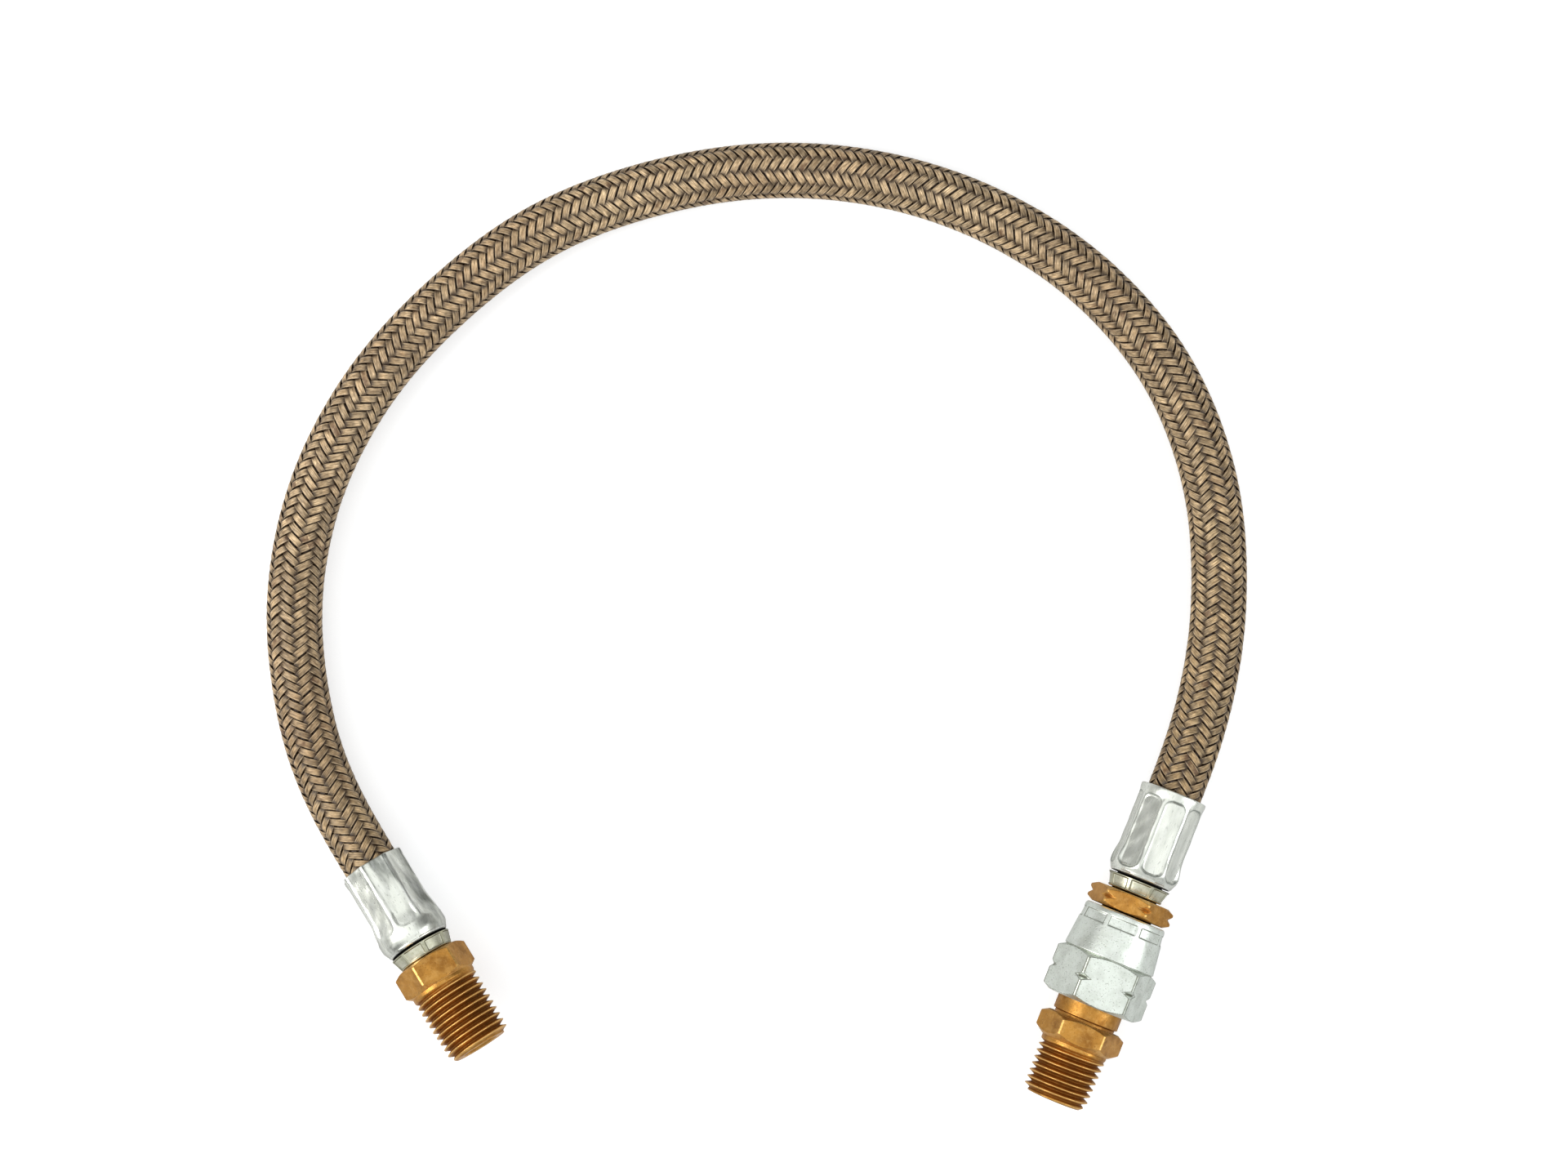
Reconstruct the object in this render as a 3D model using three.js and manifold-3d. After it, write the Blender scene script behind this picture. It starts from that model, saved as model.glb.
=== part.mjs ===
// A braided propane regulator hose lying flat on a table. One end is a rigid male pipe fitting,
// the other a swivel nut that draws a flare adapter against a 45 degree seat. Millimetres, +Z up,
// and the table is Z = 0. The origin is on the table, midway between the outsides of the fittings.
import * as THREE from "three";
import { mergeVertices } from "three/addons/utils/BufferGeometryUtils.js";
import Module from "manifold-3d";

const wasm = await Module();
wasm.setup();

// ---------------------------------------------------------------- Driving dimensions

const CLEARANCE = 0.3; // between pieces that meet
const LAYER_GAP = 0.25; // between the layers of the hose
const EDGE_ROUNDING = 0.3; // of the plated pieces
const OVERRUN = 1; // how far a cutter, or the hidden root of a joined piece, runs past a face

// Hose, from the bore outwards
const HOSE_BORE = 6.4;
const LINER_WALL = 0.9;
const REINFORCEMENT_WALL = 0.6;
const COVER_WALL = 0.55;
const HOSE_STEPS = 30;
const HOSE_CURVE_SEGMENTS = 6; // half of the sides of the hose's section

// The middle of the hose, from its cut end in the male ferrule to its cut end in the swivel
// ferrule. The first four points and the last four stand on the axes of the two fittings.
const HOSE_ROUTE = [
  [-75, 3, 10.4],
  [-79.25, 9.6, 9.15],
  [-83.5, 16.2, 7.9],
  [-87.75, 22.8, 6.65],
  [-92.5, 31.5, 5.95],
  [-97, 44, 5.8],
  [-100, 69.5, 5.8],
  [-95.5, 94, 5.8],
  [-84, 116, 5.8],
  [-67.5, 134, 5.8],
  [-48.5, 148, 5.8],
  [-26.5, 156.5, 5.8],
  [-3, 160.5, 5.8],
  [21, 159, 5.8],
  [44.5, 151.5, 5.8],
  [65.5, 138, 5.8],
  [82, 118.5, 5.8],
  [91, 94.5, 5.8],
  [92.5, 69.5, 5.8],
  [90.5, 54, 5.8],
  [88.4, 45.7, 6.15],
  [86, 38.35, 6.65],
  [83, 31, 7.2],
  [80, 23.65, 7.75],
  [77, 16.3, 8.3],
];

// Crimped ferrule. Stations on a fitting are measured outwards from the hose's cut end.
const HOSE_INSERTION = 15.9;
const FERRULE_WALL = 0.8;
const FERRULE_LIP = { height: 0.05, length: 1 }; // the mouth's flare
const FERRULE_BULGE = { height: 0.4, rise: 3, overlap: 1 }; // grows before the crimp ends
const FERRULE_FLANGE = 1.4;
const FERRULE_TAIL = 0.6;
const CRIMP_COUNT = 8;
const CRIMP_DEPTH = 0.38;
const CRIMP_DIE_THICKNESS = 4;
const MALE_CRIMP = { inset: 0.6, end: -0.4, roll: -15 }; // inset from the mouth to a station
const SWIVEL_CRIMP = { inset: 2, end: 0.7, roll: -3 };

// Locking ring between the ferrule and the hexagon
const RING_LENGTH = 2.9;
const RING_BACK_WALL = 1.25;
const RING_FRONT_WALL = 0.5;

// What both stems share
const TAIL_INSET = 1.9; // from the ferrule's mouth to the stem's tip
const TAIL_WALL = 0.3; // under the barbs
const BARB_COUNT = 4;
const BARB_DEPTH = 0.4;
const BARB_CLEARANCE = 0.4;
const BARB_RISE_SHARE = 0.9; // of each barb's length
const STOP_LENGTH = 0.8; // the stem's collar against the hose's cut end
const STOP_INSET = 0.3; // of the collar inside the cover's bore
const SHANK_RADIUS = 4.9;
const GROOVE_DEPTH = 0.7; // the groove that the ferrule's flange is locked in

// Male stem
const MALE_HEX = { acrossFlats: 14.29, length: 5.9, roll: -14, crown: 1.3 };
const MALE_THREAD_LENGTH = 15.1;
const MALE_END_BORE = 7;
const MALE_END_CHAMFER = 0.6;

// Swivel stem
const SWIVEL_HEX = { acrossFlats: 15.875, length: 4, roll: 15, notch: 0.9 };
const NECK_RADIUS = 5.4;
const HEAD_LENGTH = 4.7;
const SEAT_RIM = 0.4; // round the opening of the 45 degree seat
const SEAT_DEPTH = 2.6;

// Swivel nut
const NUT_WALL = 1.525; // from the tap's crest to a flat of the hexagon
const NUT_HEX_LENGTH = 10.3;
const NUT_HEX_NOTCH = 0.8;
const NUT_LIP_LENGTH = 2.5;
const NUT_MOUTH_MARGIN = 0.2; // of the countersink past the tap's crest
const SHOULDER_LENGTH = 9.6;
const SHOULDER_BACK_WALL = 1; // outside the cavity for the head
const SHOULDER_FRONT_WALL = 2.1;

// Flare adapter
const ADAPTER_HEX = { acrossFlats: 15.875, length: 5.1, roll: 5, crown: 1.9 };
const ADAPTER_THREAD_LENGTH = 11.9;
const ADAPTER_BORE = 6.8;
const ADAPTER_NECK_UNDERCUT = 0.15; // below the root of the thread beside it
const VISIBLE_NECK_LENGTH = 3; // between the nut's face and the groove
const ADAPTER_GROOVE = { width: 0.8, depth: 0.5 };

// Threads, all 18 to the inch and right-handed
const PITCH = 25.4 / 18;
const PIPE_ROOT_RADIUS = 5.5; // at the small end
const PIPE_DEPTH = 1.12;
const PIPE_STOCK_RADIUS = 6.83; // the bar that the taper runs out into
const PIPE_TAPER = 1 / 32; // of the radius
const FLARE_ROOT_RADIUS = 7.1;
const FLARE_DEPTH = 0.7;
const FLARE_LENGTH = 10.4;
const THREAD_CLEARANCE = 0.2;
const TAP_LEAD = 0.1; // how far the tap runs into the nut's cavity

// Wrench hexagons
const HEX_FACE_SHARE = 0.97; // of a hexagon's inner circle that its chamfer leaves
const HEX_MARGIN = 0.1; // of the turned envelope outside the corners

// Fineness of the round surfaces
const ROUND_SIDES = 24;
const THREAD_SIDES = 20;
const ROWS_PER_PITCH = 3;
const WELD = 1e-4;

// ---------------------------------------------------------------- Sizes that follow

const barbRadius = HOSE_BORE / 2 - BARB_CLEARANCE;
const tailRadius = barbRadius - BARB_DEPTH;
const stemBoreRadius = tailRadius - TAIL_WALL;
const linerRadius = HOSE_BORE / 2 + LINER_WALL;
const reinforcementBore = linerRadius + LAYER_GAP;
const reinforcementRadius = reinforcementBore + REINFORCEMENT_WALL;
const coverBore = reinforcementRadius + LAYER_GAP;
const hoseRadius = coverBore + COVER_WALL;

const mouth = -HOSE_INSERTION;
const tailTip = mouth + TAIL_INSET;
const socketRadius = hoseRadius + CLEARANCE;
const ferruleRadius = socketRadius + FERRULE_WALL;
const stopEnd = CLEARANCE + STOP_LENGTH;
const flangeStart = stopEnd + CLEARANCE;
const flangeEnd = flangeStart + FERRULE_FLANGE;
const shankStart = flangeEnd + CLEARANCE;
const ferruleEnd = flangeEnd + FERRULE_TAIL;
const grooveRadius = SHANK_RADIUS - GROOVE_DEPTH;
const shankBore = SHANK_RADIUS + CLEARANCE;
const stopRadius = coverBore - STOP_INSET;
const ringStart = ferruleEnd + CLEARANCE;
const ringEnd = ringStart + RING_LENGTH;
const hexStart = ringEnd + CLEARANCE;

const tapRootRadius = FLARE_ROOT_RADIUS + THREAD_CLEARANCE;
const tapCrestRadius = tapRootRadius + FLARE_DEPTH;
const headRadius = tapRootRadius; // so that it passes through the nut
const seatRadius = headRadius - SEAT_RIM;
const tipRadius = seatRadius - SEAT_DEPTH;
const cavityRadius = headRadius + CLEARANCE;
const nutHex = {
  acrossFlats: 2 * (tapCrestRadius + NUT_WALL),
  length: NUT_HEX_LENGTH,
  roll: 0,
  notch: NUT_HEX_NOTCH,
};

const swivelHexEnd = hexStart + SWIVEL_HEX.length;
const nutBack = swivelHexEnd + CLEARANCE;
const lipEnd = nutBack + NUT_LIP_LENGTH;
const headStart = lipEnd + CLEARANCE;
const headEnd = headStart + HEAD_LENGTH;
const cavityEnd = headEnd + CLEARANCE;
const nutHexStart = nutBack + SHOULDER_LENGTH;
const nutFront = nutHexStart + nutHex.length;

const noseShift = CLEARANCE * Math.SQRT2; // leaves the clearance square to a 45 degree seat
const noseTip = headEnd - SEAT_DEPTH + noseShift;
const noseEnd = noseTip + FLARE_ROOT_RADIUS - tipRadius;
const flareEnd = noseEnd + FLARE_LENGTH;
const neckEnd = nutFront + VISIBLE_NECK_LENGTH;
const adapterHexStart = neckEnd + ADAPTER_GROOVE.width;
const adapterHexEnd = adapterHexStart + ADAPTER_HEX.length;
const adapterEnd = adapterHexEnd + ADAPTER_THREAD_LENGTH;
const maleHexEnd = hexStart + MALE_HEX.length;
const maleEnd = maleHexEnd + MALE_THREAD_LENGTH;

// ---------------------------------------------------------------- Solids

// The closed solid of a geometry, with its shared corners welded and empty triangles left out.
function toSolid(geometry) {
  geometry.deleteAttribute("normal");
  geometry.deleteAttribute("uv");
  const welded = mergeVertices(geometry, WELD);
  const corners = welded.index.array;
  const kept = [];
  for (let i = 0; i < corners.length; i += 3) {
    const [a, b, c] = corners.slice(i, i + 3);
    if (a !== b && b !== c && c !== a) kept.push(a, b, c);
  }
  const mesh = new wasm.Mesh({
    numProp: 3,
    vertProperties: new Float32Array(welded.attributes.position.array),
    triVerts: new Uint32Array(kept),
  });
  return new wasm.Manifold(mesh);
}

function toGeometry(solid) {
  const { vertProperties, triVerts } = solid.getMesh();
  const geometry = new THREE.BufferGeometry();
  geometry.setAttribute("position", new THREE.BufferAttribute(vertProperties, 3));
  geometry.setIndex(new THREE.BufferAttribute(triVerts, 1));
  geometry.computeVertexNormals();
  return geometry;
}

// A round solid about Z. The profile lists [radius, station] upwards along the outside.
function turned(profile, sides = ROUND_SIDES) {
  const outline = profile.map(([radius, station]) => new THREE.Vector2(radius, station));
  const geometry = new THREE.LatheGeometry(outline, sides);
  geometry.rotateX(Math.PI / 2);
  return toSolid(geometry);
}

function rod(radius, from, to) {
  return turned([[0, from], [radius, from], [radius, to], [0, to]]);
}

// A ring whose profile is closed by a step back to its first point.
function ring(profile) {
  return turned([...profile, profile[0]]);
}

// A right-hand screw thread with a root at the datum on its -Y side. Each row of a turned outline
// climbs one pitch in a turn and is held between the two ends, where it drops to the root, so the
// last turns run out at the end faces.
function threadedRod(from, to, rootAt, crestAt, datum = from) {
  const first = datum - PITCH * (1 + Math.ceil((datum - from) / PITCH));
  const rows = ROWS_PER_PITCH * Math.ceil((to - first) / PITCH) + 1;
  const outline = [new THREE.Vector2(0, from)];
  for (let row = 0; row < rows; row += 1) {
    outline.push(new THREE.Vector2(1, first + (row * PITCH) / ROWS_PER_PITCH));
  }
  outline.push(new THREE.Vector2(0, to));
  const geometry = new THREE.LatheGeometry(outline, THREAD_SIDES);
  const { position } = geometry.attributes;
  for (let column = 0; column <= THREAD_SIDES; column += 1) {
    const angle = (2 * Math.PI * column) / THREAD_SIDES;
    for (let row = 0; row < rows; row += 1) {
      const free = outline[row + 1].y + (PITCH * column) / THREAD_SIDES;
      const station = THREE.MathUtils.clamp(free, from, to);
      const onRoot = row % ROWS_PER_PITCH === 0 || station !== free;
      const radius = onRoot ? rootAt(station) : crestAt(station);
      const place = [radius * Math.sin(angle), station, radius * Math.cos(angle)];
      position.setXYZ(column * outline.length + row + 1, ...place);
    }
  }
  geometry.rotateX(Math.PI / 2);
  return toSolid(geometry);
}

// A tapered pipe thread that narrows towards its far end, where it is chamfered.
function pipeThread(from, to) {
  const rootAt = (station) => PIPE_ROOT_RADIUS + (to - station) * PIPE_TAPER;
  const crestAt = (station) =>
    Math.min(rootAt(station) + PIPE_DEPTH, PIPE_STOCK_RADIUS, PIPE_ROOT_RADIUS + to - station);
  return threadedRod(from, to, rootAt, crestAt);
}

// The straight thread of the flare union, for the adapter or for the nut's tap. Both take their
// datum from the nose, so that they mesh.
function flareThread(from, to, rootRadius) {
  const rootAt = () => rootRadius;
  const crestAt = () => rootRadius + FLARE_DEPTH;
  return threadedRod(from, to, rootAt, crestAt, noseEnd);
}

// A hexagon bar with a flat facing +Y before its roll. Its corners are chamfered at 30 degrees,
// or at 45 degrees down to a crown at its far end, and may be notched at mid-length.
function hexagonBar({ acrossFlats, roll, notch = 0, crown = 0 }, from, to) {
  const cornerRadius = acrossFlats / Math.sqrt(3);
  const envelopeRadius = cornerRadius + HEX_MARGIN;
  const faceRadius = (HEX_FACE_SHARE * acrossFlats) / 2;
  const chamfer = (cornerRadius - faceRadius) * Math.tan(Math.PI / 6);
  const middle = (from + to) / 2;
  const shape = new THREE.Shape();
  for (let corner = 0; corner < 6; corner += 1) {
    const angle = THREE.MathUtils.degToRad(60 * corner + roll);
    const place = [cornerRadius * Math.cos(angle), cornerRadius * Math.sin(angle)];
    if (corner === 0) shape.moveTo(...place);
    else shape.lineTo(...place);
  }
  shape.closePath();
  const bar = new THREE.ExtrudeGeometry(shape, { depth: to - from, bevelEnabled: false });
  bar.translate(0, 0, from);
  const waist = [
    [envelopeRadius, middle - notch],
    [cornerRadius - notch, middle],
    [envelopeRadius, middle + notch],
  ];
  const farChamfer = [[envelopeRadius, to - chamfer], [faceRadius, to]];
  const farCrown = [[envelopeRadius, to - crown], [envelopeRadius - crown, to]];
  const envelope = turned([
    [0, from],
    [faceRadius, from],
    [envelopeRadius, from + chamfer],
    ...(notch > 0 ? waist : []),
    ...(crown > 0 ? farCrown : farChamfer),
    [0, to],
  ]);
  return toSolid(bar).intersect(envelope);
}

// ---------------------------------------------------------------- Fittings

// The cup that the hose is crimped into, with a flat pressed by each of the press's dies.
function ferrule({ inset, end, roll }) {
  const bulgeRadius = ferruleRadius + FERRULE_BULGE.height;
  const bulgeStart = end - FERRULE_BULGE.overlap;
  const cup = ring([
    [socketRadius, mouth],
    [ferruleRadius + FERRULE_LIP.height, mouth],
    [ferruleRadius, mouth + FERRULE_LIP.length],
    [ferruleRadius, bulgeStart - FERRULE_BULGE.rise],
    [bulgeRadius, bulgeStart],
    [bulgeRadius, flangeStart + EDGE_ROUNDING],
    [ferruleRadius, flangeEnd],
    [ferruleRadius - EDGE_ROUNDING, ferruleEnd],
    [shankBore, ferruleEnd],
    [shankBore, flangeEnd],
    [grooveRadius + CLEARANCE, flangeEnd],
    [grooveRadius + CLEARANCE, flangeStart],
    [socketRadius, flangeStart],
  ]);
  const start = mouth + inset;
  const flatHeight = ferruleRadius - CRIMP_DEPTH;
  const die = new THREE.BoxGeometry(2 * ferruleRadius, CRIMP_DIE_THICKNESS, end - start);
  die.translate(0, flatHeight + CRIMP_DIE_THICKNESS / 2, (start + end) / 2);
  let crimped = cup;
  for (let count = 0; count < CRIMP_COUNT; count += 1) {
    const angle = (2 * Math.PI * count) / CRIMP_COUNT + THREE.MathUtils.degToRad(roll);
    crimped = crimped.subtract(toSolid(die.clone().rotateZ(angle)));
  }
  return crimped;
}

// The tapered ring pressed onto the shank between the ferrule and the hexagon.
function lockingRing() {
  return ring([
    [shankBore, ringStart],
    [shankBore + RING_BACK_WALL, ringStart],
    [shankBore + RING_FRONT_WALL, ringEnd],
    [shankBore, ringEnd],
  ]);
}

// The outside of a stem from its barbed tip to its hexagon.
function stemProfile(end) {
  const barb = (-CLEARANCE - tailTip) / BARB_COUNT;
  const profile = [[0, tailTip]];
  for (let count = 0; count < BARB_COUNT; count += 1) {
    const start = tailTip + count * barb;
    profile.push([tailRadius, start], [barbRadius, start + BARB_RISE_SHARE * barb]);
  }
  profile.push(
    [tailRadius, -CLEARANCE],
    [tailRadius, CLEARANCE],
    [stopRadius, CLEARANCE],
    [stopRadius, stopEnd],
    [grooveRadius, stopEnd],
    [grooveRadius, shankStart],
    [SHANK_RADIUS, shankStart],
    [SHANK_RADIUS, end],
    [0, end],
  );
  return profile;
}

function maleStem() {
  const endRadius = MALE_END_BORE / 2;
  const bore = turned([
    [0, tailTip - OVERRUN],
    [stemBoreRadius, tailTip - OVERRUN],
    [stemBoreRadius, hexStart],
    [endRadius, hexStart + endRadius - stemBoreRadius],
    [endRadius, maleEnd - MALE_END_CHAMFER],
    [endRadius + MALE_END_CHAMFER, maleEnd],
    [endRadius + MALE_END_CHAMFER, maleEnd + OVERRUN],
    [0, maleEnd + OVERRUN],
  ]);
  return turned(stemProfile(hexStart + OVERRUN))
    .add(hexagonBar(MALE_HEX, hexStart, maleHexEnd))
    .add(pipeThread(maleHexEnd - OVERRUN, maleEnd))
    .subtract(bore);
}

function swivelStem() {
  const seatFloor = headEnd - SEAT_DEPTH;
  const neckAndHead = turned([
    [0, swivelHexEnd - OVERRUN],
    [NECK_RADIUS, swivelHexEnd - OVERRUN],
    [NECK_RADIUS, headStart],
    [headRadius, headStart],
    [headRadius, headEnd],
    [0, headEnd],
  ]);
  const boreAndSeat = turned([
    [0, tailTip - OVERRUN],
    [stemBoreRadius, tailTip - OVERRUN],
    [stemBoreRadius, seatFloor],
    [tipRadius, seatFloor],
    [seatRadius, headEnd],
    [seatRadius, headEnd + OVERRUN],
    [0, headEnd + OVERRUN],
  ]);
  return turned(stemProfile(hexStart + OVERRUN))
    .add(hexagonBar(SWIVEL_HEX, hexStart, swivelHexEnd))
    .add(neckAndHead)
    .subtract(boreAndSeat);
}

function swivelNut() {
  const lipRadius = NECK_RADIUS + CLEARANCE;
  const mouthRadius = tapCrestRadius + NUT_MOUTH_MARGIN;
  const backRadius = cavityRadius + SHOULDER_BACK_WALL;
  const frontRadius = cavityRadius + SHOULDER_FRONT_WALL;
  const shoulder = turned([
    [0, nutBack],
    [backRadius - EDGE_ROUNDING, nutBack],
    [backRadius, nutBack + EDGE_ROUNDING],
    [frontRadius, nutHexStart],
    [frontRadius - OVERRUN, nutHexStart + OVERRUN],
    [0, nutHexStart + OVERRUN],
  ]);
  const hollow = turned([
    [0, nutBack - OVERRUN],
    [lipRadius, nutBack - OVERRUN],
    [lipRadius, lipEnd],
    [cavityRadius, lipEnd],
    [cavityRadius, cavityEnd],
    [0, cavityEnd],
  ]);
  const countersink = turned([
    [0, nutFront - mouthRadius],
    [mouthRadius, nutFront],
    [mouthRadius, nutFront + OVERRUN],
    [0, nutFront + OVERRUN],
  ]);
  return shoulder
    .add(hexagonBar(nutHex, nutHexStart, nutFront))
    .subtract(hollow)
    .subtract(flareThread(cavityEnd - TAP_LEAD, nutFront + OVERRUN, tapRootRadius))
    .subtract(countersink);
}

function flareAdapter() {
  const neckRadius = FLARE_ROOT_RADIUS - ADAPTER_NECK_UNDERCUT;
  const grooveBottom = neckRadius - ADAPTER_GROOVE.depth;
  const nose = turned([
    [0, noseTip],
    [tipRadius, noseTip],
    [FLARE_ROOT_RADIUS, noseEnd],
    [FLARE_ROOT_RADIUS, noseEnd + OVERRUN],
    [0, noseEnd + OVERRUN],
  ]);
  const neck = turned([
    [0, flareEnd - OVERRUN],
    [neckRadius, flareEnd - OVERRUN],
    [neckRadius, neckEnd],
    [grooveBottom, neckEnd],
    [grooveBottom, adapterHexStart + OVERRUN],
    [0, adapterHexStart + OVERRUN],
  ]);
  return nose
    .add(flareThread(noseEnd, flareEnd, FLARE_ROOT_RADIUS))
    .add(neck)
    .add(hexagonBar(ADAPTER_HEX, adapterHexStart, adapterHexEnd))
    .add(pipeThread(adapterHexEnd - OVERRUN, adapterEnd))
    .subtract(rod(ADAPTER_BORE / 2, noseTip - OVERRUN, adapterEnd + OVERRUN));
}

// ---------------------------------------------------------------- Hose

const route = new THREE.CatmullRomCurve3(
  HOSE_ROUTE.map((point) => new THREE.Vector3(...point)),
  false,
  "centripetal",
);

// One layer of the hose: a ring section carried along the whole route.
function hoseLayer(boreRadius, outerRadius) {
  const section = new THREE.Shape().absarc(0, 0, outerRadius, 0, 2 * Math.PI);
  section.holes.push(new THREE.Path().absarc(0, 0, boreRadius, 0, 2 * Math.PI));
  return new THREE.ExtrudeGeometry(section, {
    steps: HOSE_STEPS,
    curveSegments: HOSE_CURVE_SEGMENTS,
    extrudePath: route,
  });
}

// ---------------------------------------------------------------- Assembly

const finish = {
  brass: { color: 0xb98339, roughness: 0.34, metalness: 1 },
  zinc: { color: 0xc9cbc2, roughness: 0.38, metalness: 1 },
  plated: { color: 0xb4bcbb, roughness: 0.5, metalness: 1 },
  liner: { color: 0x1d1c1b, roughness: 0.7, metalness: 0 },
  reinforcement: { color: 0xa8a39a, roughness: 0.6, metalness: 0 },
  braid: { color: 0x7d6650, roughness: 0.75, metalness: 0 },
};

function piece(name, geometry, look) {
  const mesh = new THREE.Mesh(geometry, new THREE.MeshStandardMaterial(look));
  mesh.name = name;
  return mesh;
}

// A group at one cut end of the hose, whose +Z runs out along the fitting and whose +Y is upmost.
function fittingGroup(end, inner) {
  const outward = new THREE.Vector3(...end).sub(new THREE.Vector3(...inner)).normalize();
  const across = new THREE.Vector3(0, 0, 1).cross(outward).normalize();
  const upward = outward.clone().cross(across);
  const group = new THREE.Group();
  const turn = new THREE.Matrix4().makeBasis(across, upward, outward);
  group.quaternion.setFromRotationMatrix(turn);
  group.position.set(...end);
  return group;
}

const hose = new THREE.Group();
hose.add(
  piece("hose_liner", hoseLayer(HOSE_BORE / 2, linerRadius), finish.liner),
  piece(
    "hose_reinforcement",
    hoseLayer(reinforcementBore, reinforcementRadius),
    finish.reinforcement,
  ),
  piece("hose_cover", hoseLayer(coverBore, hoseRadius), finish.braid),
);

const maleEndFitting = fittingGroup(HOSE_ROUTE[0], HOSE_ROUTE[2]);
maleEndFitting.add(
  piece("male_ferrule", toGeometry(ferrule(MALE_CRIMP)), finish.zinc),
  piece("male_locking_ring", toGeometry(lockingRing()), finish.zinc),
  piece("male_stem", toGeometry(maleStem()), finish.brass),
);

const swivelEndFitting = fittingGroup(HOSE_ROUTE.at(-1), HOSE_ROUTE.at(-3));
swivelEndFitting.add(
  piece("swivel_ferrule", toGeometry(ferrule(SWIVEL_CRIMP)), finish.zinc),
  piece("swivel_locking_ring", toGeometry(lockingRing()), finish.zinc),
  piece("swivel_stem", toGeometry(swivelStem()), finish.brass),
  piece("swivel_nut", toGeometry(swivelNut()), finish.plated),
  piece("flare_adapter", toGeometry(flareAdapter()), finish.brass),
);

const propaneHose = new THREE.Group();
propaneHose.add(hose, maleEndFitting, swivelEndFitting);

export default propaneHose;
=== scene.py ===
"""A braided propane regulator hose with a crimped fitting on each end, on a white table."""

import bpy
import numpy as np
from bpy.props import FloatProperty, FloatVectorProperty, IntProperty, PointerProperty
from mathutils import Matrix


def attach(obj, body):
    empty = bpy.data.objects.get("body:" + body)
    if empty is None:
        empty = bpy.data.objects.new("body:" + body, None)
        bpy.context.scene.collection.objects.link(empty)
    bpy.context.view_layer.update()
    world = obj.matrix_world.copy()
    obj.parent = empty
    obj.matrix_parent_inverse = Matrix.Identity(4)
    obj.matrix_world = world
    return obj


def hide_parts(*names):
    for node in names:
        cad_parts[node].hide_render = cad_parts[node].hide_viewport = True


bl_info = {
    "name": "Propane Regulator Hose",
    "version": (1, 0, 0),
    "blender": (4, 5, 0),
    "location": "3D View > Sidebar > Gas Hose",
    "description": "Builds a braided gas hose with a rigid pipe end and a swivel end",
    "category": "Add Mesh",
}

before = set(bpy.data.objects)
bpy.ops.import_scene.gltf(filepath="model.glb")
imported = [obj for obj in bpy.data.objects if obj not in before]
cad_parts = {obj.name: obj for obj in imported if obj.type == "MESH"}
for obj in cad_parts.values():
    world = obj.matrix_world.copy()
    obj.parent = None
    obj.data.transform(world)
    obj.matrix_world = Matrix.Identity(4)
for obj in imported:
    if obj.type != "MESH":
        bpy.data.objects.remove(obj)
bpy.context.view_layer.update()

MM = 0.001
TURN = 2 * np.pi
HOSE_BODY, NUT_BODY, ADAPTER_BODY = "hose_assembly", "nut", "adapter"

# ---------------------------------------------------------------- Sizes shared with the CAD model

# The middle of the hose, from its cut end in the male ferrule to its cut end in the swivel one
HOSE_ROUTE = MM * np.array(
    [
        (-75, 3, 10.4), (-79.25, 9.6, 9.15), (-83.5, 16.2, 7.9), (-87.75, 22.8, 6.65),
        (-92.5, 31.5, 5.95), (-97, 44, 5.8), (-100, 69.5, 5.8), (-95.5, 94, 5.8),
        (-84, 116, 5.8), (-67.5, 134, 5.8), (-48.5, 148, 5.8), (-26.5, 156.5, 5.8),
        (-3, 160.5, 5.8), (21, 159, 5.8), (44.5, 151.5, 5.8), (65.5, 138, 5.8),
        (82, 118.5, 5.8), (91, 94.5, 5.8), (92.5, 69.5, 5.8), (90.5, 54, 5.8),
        (88.4, 45.7, 6.15), (86, 38.35, 6.65), (83, 31, 7.2), (80, 23.65, 7.75),
        (77, 16.3, 8.3),
    ]
)
HOSE_BORE_RADIUS = 3.2 * MM
CLEARANCE = 0.3 * MM

# Stations along a fitting, measured outwards from the hose's cut end
MOUTH = -15.9 * MM
TAIL_TIP = -14 * MM
STOP_END = 1.1 * MM
FLANGE_START = 1.4 * MM
FLANGE_END = 2.8 * MM
SHANK_START = 3.1 * MM
FERRULE_END = 3.4 * MM
RING_START = 3.7 * MM
RING_END = 6.6 * MM
HEX_START = 6.9 * MM
MALE_HEX_END = 12.8 * MM
MALE_END = 27.9 * MM
SWIVEL_HEX_END = 10.9 * MM
NUT_BACK = 11.2 * MM
LIP_END = 13.7 * MM
HEAD_START = 14 * MM
HEAD_END = 18.7 * MM
CAVITY_END = 19 * MM
NUT_HEX_START = 20.8 * MM
NUT_FRONT = 31.1 * MM
SEAT_DEPTH = 2.6 * MM
NOSE_TIP = HEAD_END - SEAT_DEPTH + CLEARANCE * np.sqrt(2)
NOSE_END = NOSE_TIP + 2.8 * MM
FLARE_END = NOSE_END + 10.4 * MM
NECK_END = 34.1 * MM
ADAPTER_HEX_START = 34.9 * MM
ADAPTER_HEX_END = 40 * MM
ADAPTER_END = 51.9 * MM

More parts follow.
